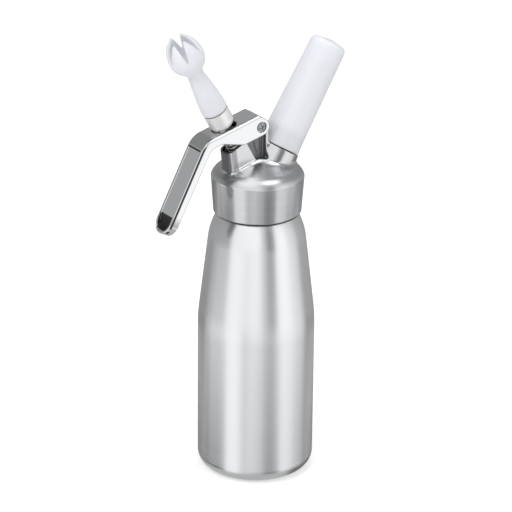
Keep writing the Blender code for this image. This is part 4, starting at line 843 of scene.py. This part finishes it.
def tip_form(x, y, z):
    """The tulip with a cleft between each prong and the next, each a wedge with a round floor."""
    body = outline_distance(TIP_OUTLINE, np.hypot(x, y), z)
    floor, floor_radius, tip_width, first_turn = 0.0478, 0.0006, 0.0013, 37.0
    half_gap = (BELL_MOUTH * 2 * math.pi / PRONGS - tip_width) / 2.0
    lean = math.atan2(half_gap - floor_radius, BELL_TOP - floor)
    up = z - floor - floor_radius
    for i in range(PRONGS // 2):
        turn = math.radians(first_turn + 360.0 * i / PRONGS)
        across = np.abs(x * math.cos(turn) + y * math.sin(turn))
        side = across * math.cos(lean) - up * math.sin(lean) - floor_radius
        wedge = np.where(up > 0.0, side, np.hypot(across, up) - floor_radius)
        body = cut(body, wedge, EASY)
    return body


def make_decorator_tip():
    cell, margin = 0.0004, 0.0012
    side, low, high = BELL_RADIUS + margin, -0.0010, BELL_TOP + margin
    tip = skin("tulip_tip", tip_form, (-side, -side, low), (side, side, high), cell)
    normals = [tuple(TIP.to_3x3() @ Vector(n.vector)) for n in tip.data.corner_normals]
    tip.data.transform(TIP)
    tip.data.normals_split_custom_set(normals)
    return tip


# Charger holder: tapered, softly fluted, with a rounded top


def make_charger_holder():
    length, top_radius, foot_radius, top_round, crown = 0.0808, 0.0129, 0.0146, 0.0046, 0.0012
    gasket, charger, charger_radius, seat, insert = 0.0022, 0.0655, 0.0096, 0.0127, 0.0117
    flutes, depth, margin, plain_foot, foot_edge, rows = 24, 0.00012, 0.0050, 0.0032, 0.0003, 40
    top = HOLDER_FOOT + length
    edge = top - top_round - crown
    corner = arc(top_radius - top_round, edge, top_round, 90.0, 0.0, 14)
    side = []
    for i in range(1, rows):
        share = i / rows
        side.append((top_radius + (foot_radius - top_radius) * share, edge + (HOLDER_FOOT - edge) * share))
    rim = [(foot_radius, HOLDER_FOOT + foot_edge), (foot_radius - foot_edge, HOLDER_FOOT)]
    step = HOLDER_FOOT + GAP + insert + GAP
    charger_top = GASKET_SEAT + GAP + gasket + GAP + charger
    inside = [(seat, HOLDER_FOOT), (seat, step), (charger_radius, step)]
    inside += arc(0.0, charger_top + GAP - charger_radius, charger_radius, 0.0, 90.0, 12)
    inside[-1] = (0.0, inside[-1][1])

    def fluted(radius, height, turn):
        start = HOLDER_FOOT + plain_foot
        if radius <= seat or not start < height < edge:
            return radius
        fade = eased_step(min(height - start, edge - height), 0.0, margin)
        return radius - depth * fade * (0.5 - 0.5 * math.cos(flutes * turn))

    outline = [(0.0, top), *corner, *side, *rim, *inside]
    return turned("fluted_holder", outline, 192, CHARGER, ring=False, flutes=fluted)


# Finishes


def brushed_aluminium(name, roughness, lines):
    """Satin aluminium, turned or brushed round the upright axis."""
    finish = Finish(name, (0.70, 0.71, 0.72), Metallic=1.0, Anisotropic=0.55, Anisotropic_Rotation=0.25)
    streaks = finish.grain(18.0, lines, 3.0)
    clouds = finish.grain(30.0, 30.0, 3.0)
    finish.give(Roughness=roughness + 0.10 * (streaks - 0.5) + 0.05 * (clouds - 0.5))
    finish.give(Base_Color=finish.tint(streaks, (0.67, 0.68, 0.69), (0.73, 0.74, 0.75)))
    finish.relief(streaks, 0.000006)
    return finish.material


def cast_aluminium(name):
    """Turned satin outside, blasted on the dome and round the turret, dull in the pockets; painted shade
    darkens the pockets, the turret's front, the band beside it and the seams.
    """
    finish = Finish(name, (0.55, 0.56, 0.57), Metallic=1.0, Anisotropic=0.30, Anisotropic_Rotation=0.25)
    streaks = finish.grain(18.0, 1400.0, 3.0)
    clouds = finish.grain(120.0, 120.0, 3.0)
    across, up = finish.distance((1.0, 0.0, 0.0)), finish.distance((0.0, 0.0, 1.0))
    # The pocket in each side of the post: rougher, and darkened with painted shade
    pocket_across, pocket_up, pocket_edge = (-0.0162, 0.0020), (0.2324, 0.2502), 0.0067
    pocket = across.span(*pocket_across, KEEN) * up.span(*pocket_up, KEEN)
    pocket = pocket * (1.0 - finish.width().above(pocket_edge, KEEN))
    # The turret's front, rougher and darkened with painted shade, and the band between it and the bright
    # flats, rougher and grey with painted shade
    tower, tower_edge, front_end, band_start, band_end = 0.2262, 0.0006, -0.0083, -0.0072, -0.0036
    ahead = finish.distance((math.cos(TURRET_TILT), 0.0, math.sin(TURRET_TILT)), TURRET_FOOT)
    cast = up.above(tower, tower_edge)
    front = cast * (1.0 - ahead.above(front_end, CRISP))
    band = cast * ahead.span(band_start, band_end, CRISP)
    # The dome, a cone over the skirt
    dome_low, cone_top = 0.2186, 0.2353
    radius = finish.vector("LENGTH", finish.place((1.0, 1.0, 0.0)), output="Value")
    below_cone = 1.0 - (up + radius * math.tan(DOME_SLOPE)).above(cone_top, PLAIN)
    dome = up.above(dome_low, EASY) * below_cone
    # Painted shade in the seams under the charger's holder and at the skirt's lower edge
    seam_depth, boss_back, lip_height = 0.0005, 0.0050, 0.0011
    along = finish.distance((math.sin(CHARGER_TILT), 0.0, math.cos(CHARGER_TILT)), AXES_MEET)
    seam_shade = along.above(BOSS_SEAT - seam_depth, 0.0001) * across.above(boss_back, PLAIN)
    lip = 1.0 - up.above(HEAD_LOW + lip_height, KEEN)
    tone = finish.tint(streaks, (0.52, 0.53, 0.54), (0.58, 0.59, 0.60))
    # Painted shade: the turret's front darker, the band beside the flats grey
    tone = finish.tint(front, tone, (0.24, 0.24, 0.25))
    tone = finish.tint(band, tone, (0.34, 0.34, 0.35))
    # Painted shade: nearly black in the seams under the holder and at the skirt's lower edge
    tone = finish.tint(seam_shade + lip, tone, (0.05, 0.05, 0.05))
    # Painted shade: the pockets are darkened to a dark grey
    finish.give(Base_Color=finish.tint(pocket, tone, (0.20, 0.20, 0.21)))
    satin = 0.14 + 0.05 * (streaks - 0.5) + 0.05 * (clouds - 0.5)
    finish.give(Roughness=satin + 0.28 * pocket + 0.16 * dome + 0.36 * front + 0.15 * band)
    finish.relief(streaks, 0.000004)
    return finish.material


def bright_chrome(name):
    """Polished plating with smears of handling, and painted dark reflections in the scoop, on the recess's
    step and along the handle's edges.
    """
    silver, nearly_black = (0.70, 0.71, 0.72), (0.05, 0.05, 0.05)
    finish = Finish(name, silver, Metallic=1.0)
    sharp, handle_start, bend_fade = 0.0001, 0.0020, 0.0030
    down = finish.side_distance(HANDLE_ALONG, CORNER)
    depth = finish.side_distance(HANDLE_IN, CORNER)
    width = finish.width()
    handle = down.above(handle_start, bend_fade)
    # Painted dark reflections in the scoop, and on the step where the recess starts
    scoop_run, scoop_depth = (SCOOP_START, SCOOP_END + 0.0005), (0.0008, 0.0031)
    step_run, step_depth = (RECESS_START - 0.0006, RECESS_START + 0.0007), (-0.0001, 0.0012)
    within = 1.0 - width.above(HALF_WIDTH - RIM, KEEN)
    scoop = down.span(*scoop_run, CRISP) * depth.span(*scoop_depth, sharp) * within
    step = down.span(*step_run, sharp) * within * depth.span(*step_depth, sharp)
    # A painted dark reflection in a line along the side, under the outer skin and round the bend
    side_skin, line_depth = 0.0006, (0.0004, 0.0021)
    middle = CORNER + HANDLE_ALONG * RECESS_START + HANDLE_IN * BEND_RADIUS
    spoke = finish.vector("SUBTRACT", finish.place((1.0, 0.0, 1.0)), (middle.x, 0.0, middle.y))
    straight = down.above(RECESS_START, KEEN)
    round_bend = BEND_RADIUS - finish.vector("LENGTH", spoke, output="Value")
    under = depth * straight + round_bend * (1.0 - straight)
    side = width.above(HALF_WIDTH - side_skin, sharp) * handle
    line = side * under.span(*line_depth, CRISP)
    # Painted dark reflections on the far rim of the recess, and on the side just before the round end
    end_start, end_fade, end_stop = 0.0560, 0.0040, 0.0605
    far_rim = finish.distance((0.0, 1.0, 0.0)).above(HALF_WIDTH - RIM, sharp) * down.above(RECESS_START, EASY)
    end_side = side * down.above(end_start, end_fade) * (1.0 - down.above(end_stop, PLAIN))
    # Painted dark reflections on the plate's rounded edge, and in a fine line under it on the cheek
    edge_width, edge_depth = (HALF_WIDTH - 0.0013, HALF_WIDTH - 0.0006), 0.0006
    cheek_line_skin, cheek_line_depth = 0.0002, (0.0015, 0.0020)
    plate = 1.0 - handle
    plate_depth = finish.side_distance(PLATE_IN, PLATE_END)
    edge = plate * width.span(*edge_width, sharp) * (1.0 - plate_depth.above(edge_depth, sharp))
    cheek_line = plate * width.above(HALF_WIDTH - cheek_line_skin, sharp) * plate_depth.span(*cheek_line_depth, sharp)
    # Painted dark reflections: every mask above mixes the base colour towards nearly black
    dark = scoop + step + line + 0.55 * far_rim + 0.50 * end_side * (1.0 - line) + 0.70 * edge + 0.35 * cheek_line
    smears = finish.grain(60.0, 60.0, 4.0)
    finish.give(Base_Color=finish.tint(dark, silver, nearly_black))
    finish.give(Roughness=0.07 + 0.05 * smears + 0.25 * dark)
    finish.relief(finish.grain(90.0, 90.0, 1.0), 0.00001)
    return finish.material


def turned_steel(name, colour, roughness):
    """Fine turning marks over plain steel or brass."""
    finish = Finish(name, colour, Metallic=1.0, Anisotropic=0.3)
    rings = finish.grain(40.0, 1600.0, 2.0)
    finish.give(Roughness=roughness + 0.12 * (rings - 0.5))
    finish.relief(rings, 0.000004)
    return finish.material


def matt_silver(name):
    """Pale matt plating over fine turning, with painted shade where the tip sits on it."""
    silver, seam_shade_colour, seam_depth = (0.84, 0.84, 0.83), (0.12, 0.12, 0.12), 0.0004
    finish = Finish(name, silver, Metallic=0.55)
    rings = finish.grain(40.0, 900.0, 2.0)
    # Painted shade: darkened just under where the tip sits
    seam_shade = finish.side_distance(VALVE_UP, VALVE_FOOT).above(ADAPTER_TOP - seam_depth, 0.0001)
    finish.give(Base_Color=finish.tint(seam_shade, silver, seam_shade_colour), Roughness=0.40 + 0.10 * (rings - 0.5))
    return finish.material


def white_plastic(name):
    """Moulded plastic, a slightly cool white that lets a little light in."""
    finish = Finish(name, (0.80, 0.82, 0.86), Subsurface_Weight=0.60, Subsurface_Scale=0.006,
                    Subsurface_Radius=(1.0, 1.0, 1.0))
    mottle = finish.grain(45.0, 45.0, 3.0)
    fine = finish.grain(900.0, 900.0, 2.0)
    finish.give(Base_Color=finish.tint(mottle, (0.79, 0.81, 0.86), (0.82, 0.83, 0.87)))
    finish.give(Roughness=0.28 + 0.10 * fine)
    finish.relief(fine, 0.000008)
    return finish.material


def soft_rubber(name, colour, roughness):
    """Moulded rubber with a little dust."""
    finish = Finish(name, colour)
    dust = finish.grain(700.0, 700.0, 3.0)
    finish.give(Roughness=roughness + 0.15 * (dust - 0.5))
    finish.relief(dust, 0.00001)
    return finish.material


def dress(piece, material):
    """Gives a piece one material."""
    piece.data.materials.clear()
    piece.data.materials.append(material)
    return piece


ALUMINIUM = brushed_aluminium("brushed aluminium", 0.24, 2600.0)
CAST = cast_aluminium("satin aluminium casting")
CHROME = bright_chrome("bright chrome")
STEEL = turned_steel("turned stainless steel", (0.58, 0.58, 0.58), 0.24)
DARK_STEEL = turned_steel("darkened screw steel", (0.30, 0.30, 0.30), 0.22)
SILVER = matt_silver("matt silver")
BRASS = turned_steel("turned brass", (0.62, 0.47, 0.20), 0.30)
PLASTIC = white_plastic("cool white plastic")
RUBBER = soft_rubber("black rubber", (0.03, 0.03, 0.03), 0.65)
SILICONE = soft_rubber("pale silicone", (0.62, 0.64, 0.66), 0.55)


def show(piece, material, body, node):
    """A finer piece that stands for a solid of the frame."""
    dress(piece, material)
    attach(piece, body)
    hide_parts(node)
    return piece


show(make_bottle(), ALUMINIUM, "bottle", "bottle")
show(make_head(), CAST, "head", "head")
show(make_lever(), CHROME, "lever", "lever")
show(make_pivot_screw(), DARK_STEEL, "lever", "pivot_screw")
show(make_pivot_sleeve(), STEEL, "lever", "pivot_sleeve")
show(make_stem_collar(), STEEL, "valve_stem", "stem_collar")
show(make_nozzle_adapter(), SILVER, "valve_stem", "nozzle_adapter")
show(make_decorator_tip(), PLASTIC, "decorator_tip", "decorator_tip")
show(make_charger_holder(), PLASTIC, "charger_holder", "charger_holder")
spring, spring_foot, spring_keep = make_valve_spring()
show(spring, STEEL, "head", "valve_spring")
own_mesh(spring)

INNER_FINISHES = {
    "head_gasket": SILICONE, "valve_stem": STEEL, "stem_seal": RUBBER, "lower_stem_ring": RUBBER,
    "upper_stem_ring": RUBBER, "valve_gland": BRASS, "piercing_pin": STEEL, "check_valve_ring": RUBBER,
    "charger_gasket": RUBBER, "gas_charger": STEEL, "holder_insert": STEEL,
}
for node_name, material in INNER_FINISHES.items():
    dress(nodes[node_name], material)


# Studio: a pale floor, a white background, soft lamps, and bands of light for the metal to show

CAMERA_TURN = math.radians(-33.0)
CAMERA_RISE = math.radians(23.0)

# Bands of light round the object. Each stop has a brightness, and before it the turn in degrees from
# the camera of the way that the surface mirrors, which is twice the turn of the surface.
FOOT = [(-180, 0.60), (60, 0.60), (84, 0.20), (180, 0.20)]
LEANING = [(-180, 0.16), (-78, 0.08), (-67, 0.30), (-56, 1.15), (-38, 1.20), (-22, 0.78), (8, 0.60),
           (27, 0.24), (42, 0.30), (54, 0.98), (67, 0.95), (90, 0.56), (125, 0.25), (180, 0.20)]
STEEP = [(-180, 0.95), (-124, 0.90), (-108, 0.30), (-78, 0.16), (-67, 0.30), (-56, 1.10), (-38, 1.20),
         (-22, 0.80), (-8, 0.85), (8, 0.60), (27, 0.24), (42, 0.30), (54, 0.98), (67, 0.95), (90, 0.56),
         (108, 0.40), (126, 1.00), (180, 0.95)]
LOW = [(-180, 0.24), (-128, 0.26), (-110, 0.85), (-95, 1.25), (-62, 1.30), (-47, 1.38), (-36, 1.28),
       (-22, 0.96), (-6, 1.18), (7, 1.15), (21, 0.90), (33, 0.88), (45, 1.30), (58, 1.34), (76, 1.25),
       (100, 1.05), (122, 0.34), (180, 0.30)]
LEVEL = [(-180, 0.40), (-85, 0.50), (-72, 0.55), (-58, 1.20), (4, 1.30), (17, 0.80), (29, 0.32),
         (39, 0.40), (50, 1.30), (66, 1.35), (90, 1.00), (125, 0.55), (180, 0.40)]
DARK_SIDE = [(-180, 0.35), (-112, 0.30), (-90, 0.10), (-64, 0.08), (-50, 1.70)]
HIGH = [*DARK_SIDE, (-8, 1.60), (10, 0.60), (26, 0.36), (130, 0.42), (180, 0.35)]
DOME = [*DARK_SIDE, (-6, 1.60), (10, 1.20), (24, 3.00), (50, 3.00), (66, 0.50), (130, 0.42), (180, 0.35)]
TOP = [(-180, 0.45), (180, 0.45)]

# Each pattern takes over from the one before between two slopes, the Z of the surface's normal
PATTERNS = [
    (LEANING, -0.30, -0.16), (STEEP, -0.095, -0.075), (LOW, -0.050, -0.022), (LEVEL, 0.04, 0.16),
    (HIGH, 0.50, 0.60), (DOME, 0.61, 0.65), (HIGH, 0.78, 0.82), (TOP, 0.958, 0.975),
]


def make_floor():
    """A pale sheet just under the bottle that keeps its shadow."""
    half_size, below, glow = 3.0, 0.0002, 0.30
    shape = bmesh.new()
    bmesh.ops.create_grid(shape, x_segments=1, y_segments=1, size=half_size)
    floor = made_from("floor", shape, Matrix.Translation((0.0, 0.0, -below)))
    paper = Finish("white studio floor", (0.92, 0.92, 0.92), Roughness=0.9, Emission_Strength=1.0)
    paper.give(Emission_Color=glow * paper.node("ShaderNodeLightPath", output="Is Camera Ray"))
    dress(floor, paper.material)
    floor.visible_glossy = False


def make_world():
    """White for the camera, plain light for matte things, bands of light for the metal."""
    world = bpy.data.worlds.new("studio")
    bpy.context.scene.world = world
    world.use_nodes = True
    sky = Shader(world.node_tree)

    def bands(stops):
        """The brightness for a surface, by its turn."""
        whole_turn = 720.0
        graded = sky.node("ShaderNodeValToRGB", None, {"Fac": around})
        ramp = graded.socket.node.color_ramp
        ramp.interpolation = "EASE"
        while len(ramp.elements) < len(stops):
            ramp.elements.new(0.5)
        for element, (turn, brightness) in zip(ramp.elements, stops):
            element.position = 0.5 + turn / whole_turn
            element.color = (brightness, brightness, brightness, 1.0)
        return graded

    # A reflection's place in the pattern is the way that the surface faces, halfway to the camera
    way = sky.node("ShaderNodeTexCoord", output="Generated")
    level = math.cos(CAMERA_RISE)
    to_camera = (math.sin(CAMERA_TURN) * level, -math.cos(CAMERA_TURN) * level, math.sin(CAMERA_RISE))
    facing = sky.vector("NORMALIZE", sky.vector("ADD", way, to_camera))
    height = sky.node("ShaderNodeSeparateXYZ", None, {"Vector": facing}, "Z")
    from_camera = {"Vector": facing, "Angle": math.pi / 2 - CAMERA_TURN}
    spun = sky.node("ShaderNodeVectorRotate", {"rotation_type": "Z_AXIS"}, from_camera)
    around = sky.node("ShaderNodeTexGradient", {"gradient_type": "RADIAL"}, {"Vector": spun}, "Fac")
    shown = bands(FOOT)
    for stops, start, end in PATTERNS:
        slopes = {"Value": height, "From Min": start, "From Max": end}
        share = sky.node("ShaderNodeMapRange", {"interpolation_type": "SMOOTHSTEP"}, slopes)
        shown = sky.tint(share, shown, bands(stops))
    matte, white = (0.62, 0.62, 0.63), (1.0, 1.0, 1.0)
    lit = sky.tint(sky.node("ShaderNodeLightPath", output="Is Glossy Ray"), matte, shown)
    whole = sky.tint(sky.node("ShaderNodeLightPath", output="Is Camera Ray"), lit, white)
    sky.set(sky.tree.nodes["Background"], {"Color": whole})


def make_lamp(name, turn, rise, distance, size, watts):
    """A soft lamp at a turn to the right of the camera and a rise over the floor, in degrees."""
    bearing = CAMERA_TURN - math.pi / 2 + math.radians(turn)
    lift = math.radians(rise)
    middle_height = 0.16
    way = Vector((math.cos(bearing) * math.cos(lift), math.sin(bearing) * math.cos(lift), math.sin(lift)))
    light = bpy.data.lights.new(name, "AREA")
    light.shape = "DISK"
    light.size = size
    light.energy = watts
    lamp = link(bpy.data.objects.new(name, light))
    lamp.location = Vector((0.0, 0.0, middle_height)) + way * distance
    lamp.rotation_euler = way.to_track_quat("Z", "Y").to_euler()
    lamp.visible_glossy = False
    lamp.visible_camera = False


def make_camera():
    """The photo's view: from the lever's side, 23 degrees above the horizon, 1.8 m away."""
    roll, distance, far_enough = math.radians(0.612), 1.8, 50.0
    pixels_a_metre, picture = 1430.0, 512.0
    centre = (256.4, 292.9)
    aim = Vector((0.0, 0.0, 0.130))
    spin = Matrix.Rotation(CAMERA_TURN, 3, "Z")
    ahead = spin @ Vector((0.0, math.cos(CAMERA_RISE), -math.sin(CAMERA_RISE)))
    level_up = spin @ Vector((0.0, math.sin(CAMERA_RISE), math.cos(CAMERA_RISE)))
    level_right = spin @ Vector((1.0, 0.0, 0.0))
    right = level_right * math.cos(roll) + level_up * math.sin(roll)
    up = level_up * math.cos(roll) - level_right * math.sin(roll)
    lens = bpy.data.cameras.new("camera")
    camera = link(bpy.data.objects.new("camera", lens))
    place = Matrix((right, up, -ahead)).transposed().to_4x4()
    place.translation = aim - distance * ahead
    camera.matrix_world = place
    lens.lens = pixels_a_metre * distance * lens.sensor_width / picture
    lens.shift_x = (picture / 2 - centre[0]) / picture
    lens.shift_y = (centre[1] - picture / 2) / picture
    lens.clip_end = far_enough
    bpy.context.scene.camera = camera


make_floor()
make_world()
make_lamp("key lamp", -40.0, 45.0, 1.6, 1.2, 9.0)
make_lamp("fill lamp", 50.0, 30.0, 1.8, 1.4, 5.0)
make_lamp("top lamp", 160.0, 65.0, 1.6, 1.0, 5.0)
make_camera()
bpy.context.scene.view_settings.view_transform = "Standard"
